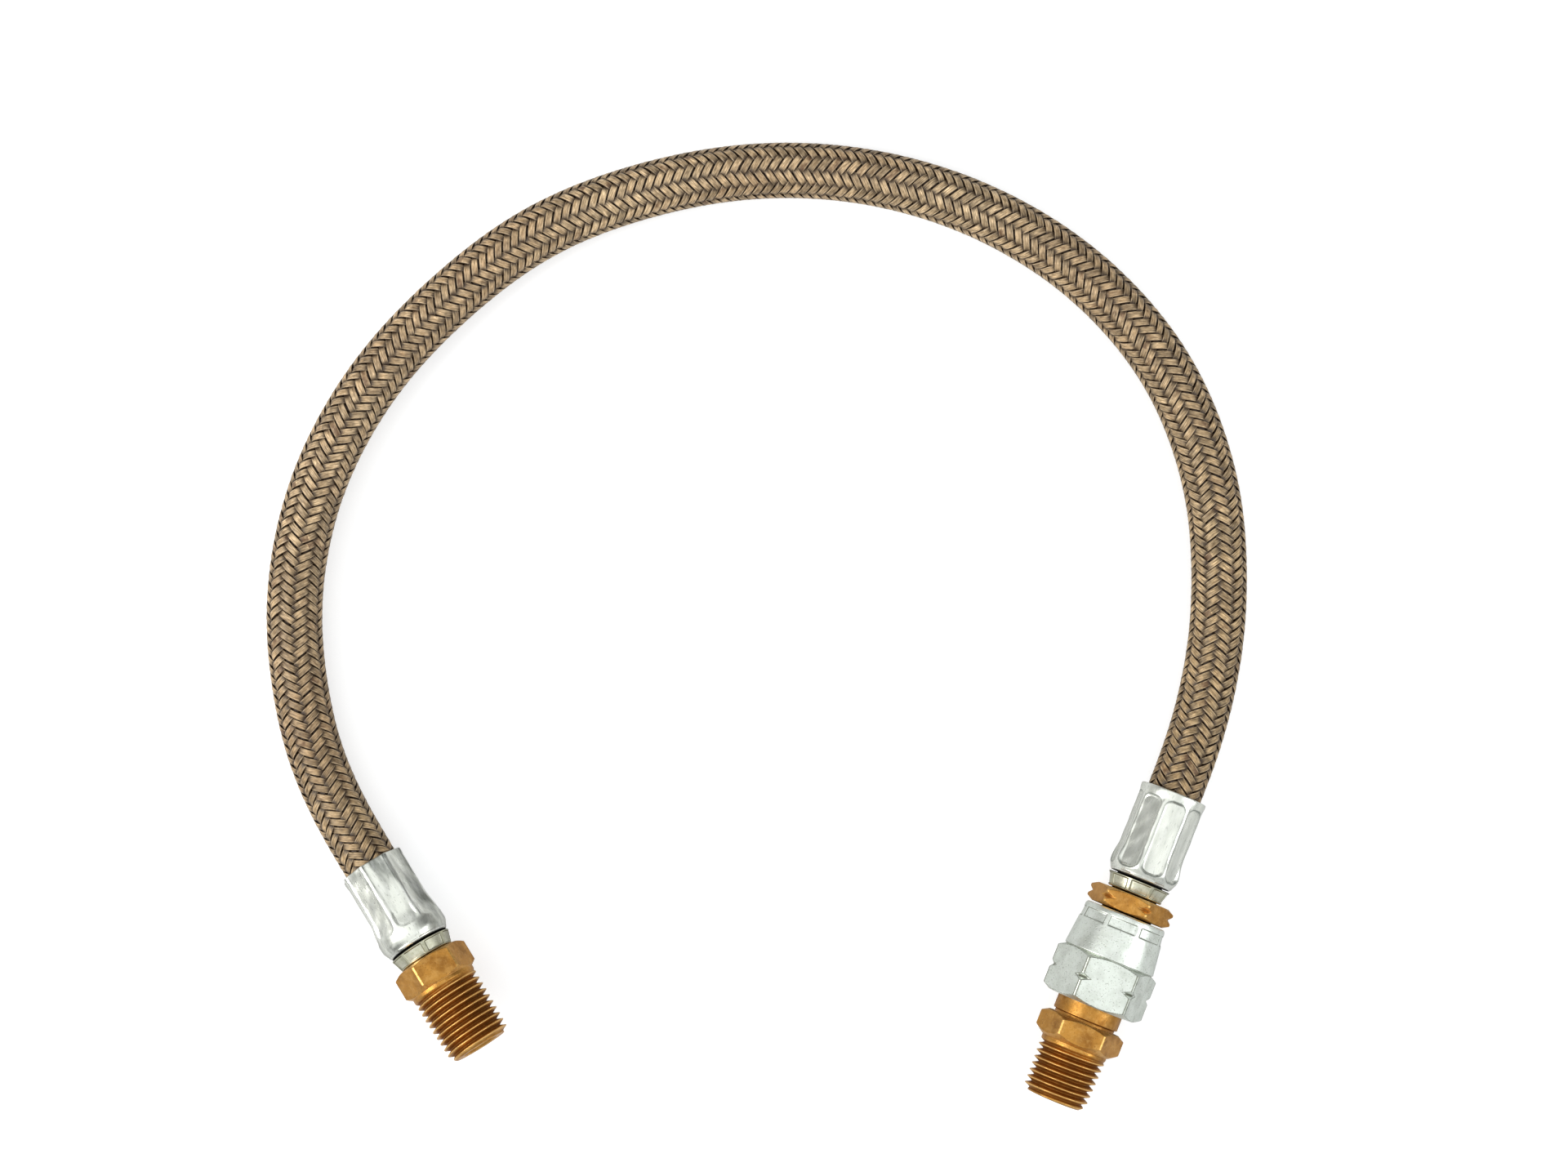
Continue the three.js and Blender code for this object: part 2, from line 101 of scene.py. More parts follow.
# Radii
SOCKET_RADIUS = 6.05 * MM
FERRULE_RADIUS = 6.85 * MM
SHANK_RADIUS = 4.9 * MM
SHANK_BORE = 5.2 * MM
GROOVE_RADIUS = 4.2 * MM
STEM_BORE_RADIUS = 2.1 * MM
TAIL_RADIUS = 2.4 * MM
BARB_RADIUS = 2.8 * MM
BARB_COUNT = 4
MALE_END_BORE_RADIUS = 3.5 * MM
NECK_RADIUS = 5.4 * MM
HEAD_RADIUS = 7.3 * MM
SEAT_RADIUS = 6.9 * MM
NOSE_RADIUS = 4.3 * MM
CAVITY_RADIUS = 7.6 * MM
SHOULDER_BACK_RADIUS = 8.6 * MM
SHOULDER_FRONT_RADIUS = 9.7 * MM
ADAPTER_NECK_RADIUS = 6.95 * MM
ADAPTER_GROOVE_RADIUS = 6.45 * MM
ADAPTER_BORE_RADIUS = 3.4 * MM
RING_RADIUS = 6.62 * MM
RING_TAPER = 0.87 * MM

# Hexagons: across flats, and the roll of a flat about the axis from the top, in degrees
MALE_FLATS, MALE_ROLL = 14.29 * MM, -14
SWIVEL_FLATS, SWIVEL_ROLL = 15.875 * MM, 15
ADAPTER_FLATS, ADAPTER_ROLL = 15.875 * MM, 5
NUT_FLATS, NUT_ROLL = 19.05 * MM, 0
NUT_MARK_ROLL = 8
NOTCH = 0.9 * MM  # depth of the V notches in the corners
FACE_SHARE = 0.97  # how much of its width across flats a hexagon keeps on its end faces
HEX_EDGE = 0.13 * MM  # how much of a hexagon's corner the bar stock leaves off

# Threads, all 18 to the inch and right-handed
PITCH = 25.4 / 18 * MM
PIPE_ROOT_RADIUS = 5.55 * MM
PIPE_DEPTH = 1.15 * MM
PIPE_STOCK_RADIUS = 7 * MM
PIPE_TAPER = 1 / 32
FLARE_ROOT_RADIUS = 7.1 * MM
FLARE_DEPTH = 0.7 * MM
TAP_CLEARANCE = 0.2 * MM

# ---------------------------------------------------------------- Settings


def length(name, description, default):
    return FloatProperty(
        name=name, description=description, default=default, unit="LENGTH", precision=5
    )


def colour(name, description, default):
    return FloatVectorProperty(
        name=name, description=description, default=default, subtype="COLOR", size=3, min=0, max=1
    )


class BraidSettings(bpy.types.PropertyGroup):
    """Sizes and colours of the braided cover."""

    carriers: IntProperty(
        name="Carriers each way", description="Ribbons that turn in each direction", default=12
    )
    lay: length("Lay", "Length of hose in which a ribbon goes once round", 24.1 * MM)
    width: length("Ribbon width", "Width of one flat ribbon of filaments", 1.42 * MM)
    thickness: length("Ribbon thickness", "Thickness of one ribbon", 0.27 * MM)
    rise: length("Weave height", "How far a ribbon rises over the other family", 0.23 * MM)
    taupe: colour("Taupe", "Main colour of the ribbons", (0.225, 0.150, 0.078))
    # Pale serves both the palest filaments and the painted sheen on the filament lines and ribbon
    # edges.
    pale_and_sheen: colour("Pale", "Colour of the cleanest filaments", (0.66, 0.495, 0.305))
    stain: colour("Stain", "Colour of the stained ribbons", (0.10, 0.045, 0.02))


class FittingSettings(bpy.types.PropertyGroup):
    """Finishes of the metal pieces."""

    crimp_depth: length("Crimp depth", "Depth of the flats pressed into a ferrule", 0.42 * MM)
    bulge: length("Bulge", "How far the ferrule's uncrimped end stands out", 0.5 * MM)
    mark_depth: length("Mark depth", "Depth of the rectangles pressed into rings", 0.17 * MM)
    zinc: colour("Zinc", "Bright plating of the ferrules", (0.86, 0.88, 0.80))
    nut_zinc: colour("Nut zinc", "Bluish plating of the nut", (0.79, 0.84, 0.77))
    ring_zinc: colour("Ring zinc", "Yellowish plating of the rings", (0.58, 0.58, 0.42))
    brass: colour("Brass", "Bright machined brass", (0.54, 0.262, 0.055))
    # Tarnish serves both the stains on the brass and the shade painted into its roots, creases and
    # corners.
    tarnish_and_shade: colour("Tarnish", "Tarnished brass in the roots", (0.27, 0.115, 0.025))


class StageSettings(bpy.types.PropertyGroup):
    """Camera, table and lights."""

    camera_height: length("Camera height", "Height of the camera over the table", 570 * MM)
    camera_x: length("Camera across", "Camera's place along X", 2 * MM)
    camera_y: length("Camera along", "Camera's place along Y", 73.65 * MM)
    lens: FloatProperty(
        name="Lens", description="Focal length on a 36 mm sensor", default=62.25, unit="CAMERA"
    )


# ---------------------------------------------------------------- Meshes


def make_object(
    name, vertices, faces, body, material, replaced=(), corner_maps=None, masks=None
):
    """Puts arrays of points and four-sided faces into a smooth mesh at the origin.

    corner_maps holds each UV map's name and its (faces, 4, 2) places, and masks each attribute's
    name and its number for each point."""
    mesh = bpy.data.meshes.new(name)
    mesh.vertices.add(len(vertices))
    mesh.vertices.foreach_set("co", np.asarray(vertices, np.float32).ravel())
    mesh.loops.add(faces.size)
    mesh.loops.foreach_set("vertex_index", faces.astype(np.int32).ravel())
    mesh.polygons.add(len(faces))
    mesh.polygons.foreach_set("loop_start", np.arange(0, faces.size, 4, dtype=np.int32))
    mesh.polygons.foreach_set("loop_total", np.full(len(faces), 4, np.int32))
    for map_name, places in (corner_maps or {}).items():
        layer = mesh.uv_layers.new(name=map_name)
        layer.data.foreach_set("uv", places.astype(np.float32).ravel())
    for mask_name, values in (masks or {}).items():
        attribute = mesh.attributes.new(mask_name, "FLOAT", "POINT")
        attribute.data.foreach_set("value", values.astype(np.float32).ravel())
    mesh.update(calc_edges=True)
    mesh.validate()
    mesh.shade_smooth()
    piece = bpy.data.objects.new(name, mesh)
    bpy.context.scene.collection.objects.link(piece)
    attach(piece, body)
    if replaced:
        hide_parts(*replaced)
    mesh.materials.append(material)
    return piece


def grid_faces(rows, columns):
    """Faces of a grid whose rows and columns both close on themselves."""
    row, column = np.meshgrid(np.arange(rows), np.arange(columns), indexing="ij")
    next_row, next_column = (row + 1) % rows, (column + 1) % columns
    corners = (
        row * columns + column,
        row * columns + next_column,
        next_row * columns + next_column,
        next_row * columns + column,
    )
    return np.stack(corners, axis=-1).reshape(-1, 4)


# ---------------------------------------------------------------- The hose's line


def unit(vectors):
    return vectors / np.linalg.norm(vectors, axis=-1, keepdims=True)


def route_curve(points, samples=40):
    """Centripetal Catmull-Rom curve through the points, samples to a stretch.

    Each stretch is a cubic whose end slopes come from its neighbours, with knots spaced by the
    square root of the distance; the neighbour past an end is its mirror image."""
    first = 2 * points[0] - points[1]
    last = 2 * points[-1] - points[-2]
    p = np.vstack([first, points, last])
    step = np.linalg.norm(np.diff(p, axis=0), axis=1)[:, None] ** 0.5
    before, here, after = step[:-2], step[1:-1], step[2:]
    p0, p1, p2, p3 = p[:-3], p[1:-2], p[2:-1], p[3:]
    slope1 = ((p1 - p0) / before - (p2 - p0) / (before + here) + (p2 - p1) / here) * here
    slope2 = ((p2 - p1) / here - (p3 - p1) / (here + after) + (p3 - p2) / after) * here
    t = np.linspace(0, 1, samples, endpoint=False)[None, :, None]
    a, b = slope1[:, None], slope2[:, None]
    start, end = p1[:, None], p2[:, None]
    cubic = 2 * start - 2 * end + a + b
    square = -3 * start + 3 * end - 2 * a - b
    curve = start + a * t + square * t**2 + cubic * t**3
    return np.vstack([curve.reshape(-1, 3), points[-1]])


def evenly(curve, spacing):
    """The curve's points at an even spacing along its length."""
    distance = np.append(0, np.cumsum(np.linalg.norm(np.diff(curve, axis=0), axis=1)))
    wanted = np.linspace(0, distance[-1], int(round(distance[-1] / spacing)) + 1)
    return wanted, np.stack([np.interp(wanted, distance, curve[:, k]) for k in range(3)], axis=1)


class HoseLine:
    """The hose's middle line, its bends evened out over about a diameter, with a frame along it.

    At each station the frame is the unit tangent, the level direction square to it and the
    direction square to both, which points up."""

    SPACING = 0.25 * MM
    EVENING = 5 * MM

    def __init__(self):
        stations, points = evenly(route_curve(HOSE_ROUTE), self.SPACING)
        reach = int(3 * self.EVENING / self.SPACING)
        offsets = np.arange(-reach, reach + 1) * self.SPACING
        weights = np.exp(-0.5 * (offsets / self.EVENING) ** 2)
        weights /= weights.sum()
        ahead = np.arange(1, reach + 1)[:, None]
        start = points[0] - ahead[::-1] * (points[1] - points[0])
        end = points[-1] + ahead * (points[-1] - points[-2])
        padded = np.vstack([start, points, end])
        smooth = [np.convolve(padded[:, k], weights, mode="valid") for k in range(3)]
        self.stations, self.points = evenly(np.stack(smooth, axis=1), self.SPACING)
        self.length = self.stations[-1]
        self.tangents = unit(np.gradient(self.points, axis=0))
        self.sides = unit(np.cross(self.tangents, (0, 0, 1)))
        self.ups = np.cross(self.sides, self.tangents)

    def at(self, station, values):
        """An array along the line, read between its samples."""
        return np.stack([np.interp(station, self.stations, values[:, k]) for k in range(3)], axis=-1)

    def ring(self, station, angle):
        """Points of the middle line and unit vectors pointing out from it at an angle round it."""
        middle = self.at(station, self.points)
        side, up = self.at(station, self.sides), self.at(station, self.ups)
        angle = angle[..., None]
        return middle, unit(np.cos(angle) * side + np.sin(angle) * up)


hose_line = HoseLine()

# ---------------------------------------------------------------- Braid

CORE_RADIUS = 5.0 * MM
BRAID_MIDDLE = 5.42 * MM
HERRINGBONE = 6  # ups and downs of a ribbon in one turn round the hose
STEPS_PER_TURN = 96
RIBBON_SECTION = 8
CAP = 6 * MM  # how far the cover runs into each ferrule


def core_tube(line):
    """The dark tube under the braid: a circle carried along the hose, with a bore and two ends."""
    stations = np.linspace(0, line.length, 420)
    angles = np.linspace(0, TURN, 40, endpoint=False)
    rows = []
    for radius, order in ((CORE_RADIUS, 1), (HOSE_BORE_RADIUS, -1)):
        grid_station, grid_angle = np.meshgrid(stations[::order], angles, indexing="ij")
        middle, outward = line.ring(grid_station, grid_angle)
        rows.append(middle + radius * outward)
    points = np.concatenate(rows)
    return points.reshape(-1, 3), grid_faces(*points.shape[:2])[:, ::-1]


def ribbon_section(steps):
    """Half-width and height shares round a ribbon's section: a flat oval, its top gently domed."""
    angle = np.linspace(0, TURN, steps, endpoint=False) + TURN / (2 * steps)
    across = np.sign(np.cos(angle)) * np.abs(np.cos(angle)) ** 0.55
    height = np.sign(np.sin(angle)) * np.abs(np.sin(angle)) ** 0.8
    return across, height


def ribbons(line, settings, family, carriers):
    """Ribbons of one family, each a flat oval carried along a helix round the hose.

    The angle round the hose grows evenly with the station, by family's sign. The ribbon's
    distance from the middle swings between high and low with the cosine of six times that angle,
    steepened, and the two families swing opposite ways, so each goes over two and under two."""
    first, last = -MOUTH - CAP, line.length + MOUTH + CAP
    turns = (last - first) / settings.lay
    steps = int(turns * STEPS_PER_TURN)
    station = np.linspace(first, last, steps)[None, :].repeat(len(carriers), axis=0)
    start = TURN * np.asarray(carriers)[:, None] / settings.carriers
    angle = start + family * TURN * station / settings.lay
    wave = np.cos(HERRINGBONE * (angle - TURN / 48))
    height = -family * np.tanh(1.5 * wave) / np.tanh(1.5)
    rng = np.random.default_rng(11 + family)
    drift = rng.normal(0, 0.018, (len(carriers), 60))
    places = np.linspace(0, 59, steps)
    angle = angle + np.stack([np.interp(places, np.arange(60), d) for d in drift])
    middle, outward = line.ring(station, angle)
    centre = middle + (BRAID_MIDDLE + settings.rise * height)[..., None] * outward
    along = unit(np.gradient(centre, axis=1))
    out = unit(outward - (outward * along).sum(-1, keepdims=True) * along)
    across = np.cross(out, along)
    share_across, share_up = ribbon_section(RIBBON_SECTION)
    half_width = settings.width / 2 * (1 + 0.06 * height)
    offset = half_width[..., None, None] * share_across[:, None] * across[:, :, None]
    lift = settings.thickness / 2 * share_up[:, None] * out[:, :, None]
    points = centre[:, :, None] + offset + lift
    float_number = np.floor((angle * family - TURN / 48) / (TURN / 12) + 0.5).astype(int)
    tone = rng.random((len(carriers), 4096))
    tone = np.take_along_axis(tone, (float_number + 2048) % 4096, axis=1)
    masks = np.stack([tone, 0.5 - 0.5 * family * wave], axis=-1)
    return points, masks[:, :, None].repeat(RIBBON_SECTION, axis=2)


def open_tube_faces(tubes, rows, columns):
    """Faces of several tubes whose columns close and whose rows don't."""
    tube, row, column = np.meshgrid(
        np.arange(tubes), np.arange(rows - 1), np.arange(columns), indexing="ij"
    )
    first = (tube * rows + row) * columns
    next_column = (column + 1) % columns
    corners = (first + column, first + next_column, first + columns + next_column)
    return np.stack([*corners, first + columns + column], axis=-1).reshape(-1, 4)


def ribbon_caps(tubes, rows, columns):
    """Faces that close both ends of each tube of eight sides, as three four-sided faces."""
    fans = np.array([(0, 1, 2, 3), (0, 3, 4, 7), (4, 5, 6, 7)])
    starts = np.arange(tubes)[:, None, None] * rows * columns
    near = (starts + fans[None, :, ::-1]).reshape(-1, 4)
    far = (starts + (rows - 1) * columns + fans[None]).reshape(-1, 4)
    return np.vstack([near, far])


def ribbon_maps(tubes, rows, columns, cap_faces, width, spacing):
    """The ribbons' two UV maps.

    weave gives distance across the ribbon and along it in millimetres. OFBake lays the ribbons
    out side by side, cut into rows that fill the square."""
    tube, row, column, corner = np.meshgrid(
        np.arange(tubes), np.arange(rows - 1), np.arange(columns), np.arange(4), indexing="ij"
    )
    step = row + (corner >= 2)
    turn = column + np.isin(corner, (1, 2))
    share_across, _ = ribbon_section(columns)
    weave = np.stack(
        [share_across[turn % columns] * width / (2 * MM) + 40 * tube, step * spacing / MM], -1
    )
    stretch = width * 2.3 / columns
    cuts = max(1, int(round(np.sqrt((rows - 1) * spacing / (stretch * columns * tubes)))))
    per_cut = -(-(rows - 1) // cuts)
    strip = tube * cuts + row // per_cut
    u = (row % per_cut + (corner >= 2)) / per_cut
    v = (strip + 0.04 + 0.92 * turn / columns) / (tubes * cuts)
    bake = np.stack([0.002 + 0.996 * u, v], -1)
    spare = np.full((cap_faces, 4, 2), 0.5)
    corner_of = np.array([(0, 0), (0.001, 0), (0.001, 0.0005), (0, 0.0005)])
    return {
        "weave": np.vstack([weave.reshape(-1, 4, 2), spare]),
        "OFBake": np.vstack([bake.reshape(-1, 4, 2), spare * 0 + corner_of]),
    }


def make_ribbons(name, line, settings, family, carriers, material):
    """One piece that holds several ribbons of a family, with closed ends."""
    points, masks = ribbons(line, settings, family, carriers)
    tubes, rows, columns = points.shape[:3]
    faces = open_tube_faces(tubes, rows, columns)
    caps = ribbon_caps(tubes, rows, columns)
    spacing = np.linalg.norm(np.diff(points[0, :, 0], axis=0), axis=1).mean()
    maps = ribbon_maps(tubes, rows, columns, len(caps), settings.width, spacing)
    return make_object(
        name,
        points.reshape(-1, 3),
        np.vstack([faces, caps]),
        HOSE_BODY,
        material,
        corner_maps=maps,
        masks={"tone": masks[..., 0], "swell": masks[..., 1]},
    )


# ---------------------------------------------------------------- Turned pieces


class FittingAxis:
    """The axis of one fitting: from the hose's cut end outwards, with Y upmost across it."""

    def __init__(self, end, inner):
        self.end = end
        self.outward = unit(end - inner)
        self.across = unit(np.cross((0, 0, 1), self.outward))
        self.upward = np.cross(self.outward, self.across)

    def place(self, radius, angle, station):
        x = (radius * np.cos(angle))[..., None]
        y = (radius * np.sin(angle))[..., None]
        return self.end + x * self.across + y * self.upward + station[..., None] * self.outward


male_axis = FittingAxis(HOSE_ROUTE[0], HOSE_ROUTE[2])
swivel_axis = FittingAxis(HOSE_ROUTE[-1], HOSE_ROUTE[-3])


GAP_SHADE = -0.6  # painted light value of the parts that only show in narrow gaps: painted near black as their shade


class Turning:
    """Rows of a closed surface round an axis, each a ring of radii at a station.

    Rows run along the outside towards the far end and back through the bore."""

    def __init__(self, columns, hexagon_roll=None):
        """Columns are even, or crowded towards the corners of a hexagon with that roll."""
        self.angle = np.arange(columns) * TURN / columns
        if hexagon_roll is not None:
            flat = np.radians(90 + hexagon_roll)
            self.angle = self.angle + 0.11 * np.sin(6 * (self.angle - flat))
        self.rows = []

    # Each row also carries a painted light value for its colour: low values paint shade, high values
    # a highlight, and values below 0 the near black of narrow gaps.
    def add(self, station, radius, relief=0.5):
        """Adds rows: each argument is one number, one for each row, or one for each point."""
        station = np.atleast_1d(np.asarray(station, float))
        if station.ndim == 1:
            station = station[:, None]
        radius, relief = np.asarray(radius, float), np.asarray(relief, float)
        radius = radius[:, None] if radius.ndim == 1 else radius
        relief = relief[:, None] if relief.ndim == 1 else relief
        shape = (len(station), len(self.angle))
        block = [np.broadcast_to(a, shape) for a in (station, radius, relief)]
        self.rows.append(np.stack(block, axis=-1))
        return self

    def profile(self, corners, rounding=0.12 * MM, relief=0.5, edge=0.72):
        """Adds plain turned rows through corners of (radius, station), each corner rounded.

        A corner becomes five rows: two on each side of it, which hold the shading of the faces
        beside it, and the middle of the arc between them. Each row also carries a painted light
        value, and the three rows round an outward corner take the edge value, a painted highlight."""
        points = np.array(corners, float)
        ahead = np.diff(points, axis=0)
        size = np.linalg.norm(ahead, axis=1, keepdims=True)
        ahead = ahead / np.maximum(size, 1e-9)
        room = np.minimum(size[:-1], size[1:]) / 2
        cut = np.minimum(rounding, 0.45 * room)
        hold = np.minimum(2.4 * cut, 0.95 * room)
        inner, before, after = points[1:-1], ahead[:-1], ahead[1:]
        middle = inner + cut * (after - before) * 0.29
        rows = [inner - hold * before, inner - cut * before, middle]
        rows += [inner + cut * after, inner + hold * after]
        turn = before[:, 0] * after[:, 1] - before[:, 1] * after[:, 0]
        proud = np.where(turn > 0.05, edge, relief)
        painted_light_rows = [np.full(len(inner), relief)] + [proud] * 3 + [np.full(len(inner), relief)]
        rows = np.stack(rows, axis=1).reshape(-1, 2)
        painted_light_rows = np.stack(painted_light_rows, axis=1).ravel()
        rows = np.vstack([points[:1], rows, points[-1:]])
        painted_light_rows = np.concatenate([[relief], painted_light_rows, [relief]])
        return self.add(rows[:, 1], rows[:, 0], painted_light_rows)

    def hidden(self, corners):
        """Adds turned rows that only show in narrow gaps, painted near black as the shade in those
        gaps.
        """
        return self.profile(corners, relief=GAP_SHADE, edge=GAP_SHADE)

    def make(self, node, axis, body, slot, material, ending="_turned"):
        """The piece that takes the place of the CAD's node of that name."""
        block = np.concatenate(self.rows)
        points = axis.place(block[..., 1], self.angle[None, :], block[..., 0])
        faces = grid_faces(*points.shape[:2])
        masks = {"relief": block[..., 2]}
        return make_object(
            node + ending, points.reshape(-1, 3), faces, body, material, (node,), masks=masks
        )


def soft_min(a, b, softness):
    """The smaller of two arrays, rounded where they cross."""
    mix = np.clip(0.5 + (b - a) / (2 * softness), 0, 1)
    return b + (a - b) * mix - softness * mix * (1 - mix)


def smooth_step(value, low, high):
    t = np.clip((value - low) / (high - low), 0, 1)
    return t * t * (3 - 2 * t)


def fold(angle, count, offset):
    """The angle from the nearest of count evenly spaced directions, the first one at offset."""
    pitch = TURN / count
    return (angle - offset + pitch / 2) % pitch - pitch / 2


def hexagon_rows(
    turning, flats, start, end, roll, rows, notch=0, crown=0, shine=0.3, creases=0.0
):
    """Rows of a wrench hexagon: its distance to the nearest flat over the cosine of the angle
    from it, cut down by a turned envelope that chamfers its ends and may notch its corners.

    A crown is a steeper front chamfer, which takes that much more off the front face's radius.
    Shine is how much highlight is painted on edges and chamfers, and creases how dark the painted
    shade lines at their borders are. The V notches are painted darker as shade."""
    station = np.linspace(start, end, rows)[:, None]
    away = fold(turning.angle, 6, np.radians(90 + roll))[None, :]
    flat = flats / 2 / np.cos(away)
    corner = flats / np.sqrt(3)
    face = FACE_SHARE * flats / 2
    slope = 1 / np.tan(np.radians(30))
    envelope = face + (station - start) * slope
    envelope = np.minimum(envelope, face - crown + (end - station) * (slope if crown == 0 else 1.35))
    if notch > 0:
        envelope = np.minimum(envelope, corner - notch + np.abs(station - (start + end) / 2))
    envelope = np.minimum(envelope, corner - HEX_EDGE)
    radius = soft_min(flat + 0 * station, envelope + 0 * flat, 0.05 * MM)
    edge = smooth_step(np.abs(away) + 0 * station, np.radians(27.5), np.radians(29))
    chamfered = smooth_step(flat - envelope, -0.1 * MM, 0.15 * MM)
    crease = np.exp(-(((flat - envelope) / (0.09 * MM)) ** 2))
    # Painted highlight on the corners and chamfers, and painted shade along the creases at their
    # borders.
    relief = 0.5 + shine * np.maximum(edge, 0.8 * chamfered) - creases * crease
    if notch > 0:
        # The V notch is painted darker as shade.
        notch_shade = np.exp(-(((station - (start + end) / 2) / (0.24 * MM)) ** 2))
        notch_shade = notch_shade * smooth_step(np.abs(away), np.radians(22), np.radians(27))
        relief = relief - 0.62 * notch_shade
    return turning.add(station[:, 0], radius, relief)


def thread_rows(
    turning, start, end, datum, root_at, depth_at, rows_per_pitch=16, towards=1, least_at=None
):
    """Rows of a right-hand V thread with a root at the datum on its -Y side.

    The root's station climbs one pitch in a turn, and the height over it is a triangle wave of
    the distance from the root, with its tips cut flat. Nothing is nearer the axis than
    least_at, which is the cone of a chamfered mouth."""
    rows = int((end - start) / PITCH * rows_per_pitch) + 1
    station = np.linspace(start, end, rows)[::towards][:, None]
    phase = (station - datum) / PITCH - (turning.angle[None, :] + TURN / 4) / TURN
    wave = 1 - np.abs(2 * (phase % 1) - 1)
    height = np.clip((wave - 0.08) / 0.8, 0, 1)
    radius = root_at(station) + depth_at(station) * height
    if least_at is not None:
        radius = np.maximum(radius, least_at(station))
    # The colour value paints the roots dark as shade and the crests light as a highlight; a shallow
    # thread stays in between.
    fullness = np.clip(depth_at(station) / (0.6 * MM), 0, 1)
    relief = 0.12 + 0.78 * (height**2 * fullness + 0.5 * (1 - fullness))
    return turning.add(station[:, 0], radius, relief)


def union_thread_rows(turning, start, end, root, **more):
    """The union's straight thread or its tap, which share a datum at the nose's end."""
    return thread_rows(
        turning,
        start,
        end,
        NOSE_END,
        lambda station: root + 0 * station,
        lambda station: FLARE_DEPTH + 0 * station,
        rows_per_pitch=8,
        **more,
    )


def pipe_thread_rows(turning, start, end, datum):
    """A tapered pipe thread from its run-out at the hexagon to its chamfered end."""

    def root_at(station):
        taper = PIPE_ROOT_RADIUS + (end - station) * PIPE_TAPER
        runout = smooth_step(station, start + 1.9 * MM, start + 0.5 * MM)
        return taper + (PIPE_STOCK_RADIUS - taper) * runout

    def depth_at(station):
        crest = np.minimum(PIPE_STOCK_RADIUS, root_at(station) + PIPE_DEPTH)
        crest = np.minimum(crest, PIPE_ROOT_RADIUS + 0.15 * MM + end - station)
        return np.maximum(crest - root_at(station), 0)

    return thread_rows(turning, start, end, datum, root_at, depth_at)


def stem_turning(roll):
    """A stem's rows from its barbed tip to the foot of its hexagon."""
    barb = (-CLEARANCE - TAIL_TIP) / BARB_COUNT
    corners = [(STEM_BORE_RADIUS, TAIL_TIP)]
    for count in range(BARB_COUNT):
        start = TAIL_TIP + count * barb
        corners += [(TAIL_RADIUS, start), (BARB_RADIUS, start + 0.9 * barb)]
    corners += [
        (TAIL_RADIUS, -CLEARANCE),
        (TAIL_RADIUS, CLEARANCE),
        (SHANK_RADIUS, CLEARANCE),
        (SHANK_RADIUS, STOP_END),
        (GROOVE_RADIUS, STOP_END),
        (GROOVE_RADIUS, SHANK_START),
        (SHANK_RADIUS, SHANK_START),
        (SHANK_RADIUS, HEX_START),
    ]
    turning = Turning(300, roll).hidden(corners)
    # A row at the hexagon's foot, painted darker as shade in the corner.
    return turning.add(HEX_START, SHANK_RADIUS + 0.05 * MM, 0.3)


# ---------------------------------------------------------------- Fittings


CRIMPS = 8  # flats pressed into a ferrule


def ferrule_outside(turning, settings, inset, crimp_end, roll, open_mouth):
    """Radii of a ferrule's outside: a turned cup with eight flats pressed into it.

    A flat is the chord of the circle at its depth. It shows inside a rounded rectangle round its
    middle line, and the metal that it pushes aside stands as a low rib between two flats. The flat's
    outline is painted darker as shade, and each rib lighter as a painted highlight."""
    end = FLANGE_END
    station = np.linspace(MOUTH + 0.25 * MM, end, 150)[:, None]
    bulge = settings.bulge * smooth_step(station, crimp_end - 5 * MM, crimp_end - 1.2 * MM)
    flare = 0.16 * MM * smooth_step(MOUTH + 2.2 * MM - station, 0, 1.6 * MM)
    shoulder = smooth_step(station, end - 2 * MM, end + 0.3 * MM)
    body = FERRULE_RADIUS + bulge + flare - (settings.bulge + 0.15 * MM) * shoulder**1.5
    away = fold(turning.angle, CRIMPS, np.radians(90 + roll))[None, :]
    chord = (FERRULE_RADIUS - settings.crimp_depth) / np.cos(away) + 0.25 * bulge + 0.6 * flare
    half_width = 2.35 * MM
    start = MOUTH + inset
    middle, half_length = (start + crimp_end) / 2, (crimp_end - start) / 2
    corner = 1.7 * MM
    x = np.abs(away) * FERRULE_RADIUS - (half_width - corner)
    y = np.abs(station - middle) - (half_length - corner)
    outside = np.hypot(np.maximum(x, 0), np.maximum(y, 0)) - corner
    outside = outside + np.minimum(np.maximum(x, y), 0)
    if open_mouth:
        outside = np.where(station < middle, np.abs(away) * FERRULE_RADIUS - half_width, outside)
    pressed = smooth_step(-outside, -0.12 * MM, 0.5 * MM)
    if open_mouth:
        pressed = pressed * smooth_step(crimp_end + 0.8 * MM - station, 0, 4.5 * MM)
        corner_line = smooth_step(middle - station, -1 * MM, 3 * MM)
    else:
        corner_line = 1.0
    drop = np.maximum(body - chord, 0)
    rib_away = fold(turning.angle, CRIMPS, np.radians(90 + roll + 180 / CRIMPS))[None, :]
    along = smooth_step(half_length + 0.4 * MM - np.abs(station - middle), 0, 1.5 * MM)
    rib = 0.1 * MM * np.exp(-((rib_away * FERRULE_RADIUS / (0.42 * MM)) ** 2)) * along
    dents = np.sin(5 * turning.angle + 900 * station) + np.sin(11 * turning.angle - 1500 * station)
    radius = body - drop * pressed + rib + 0.018 * MM * dents
    # Painted shade along the outline of each flat and a painted highlight on each rib.
    border_shade = np.exp(-((outside / (0.22 * MM)) ** 2)) * (along > 0)
    relief = 0.5 - 0.42 * border_shade * corner_line + 2.4 * rib / MM
    return station[:, 0], radius, relief


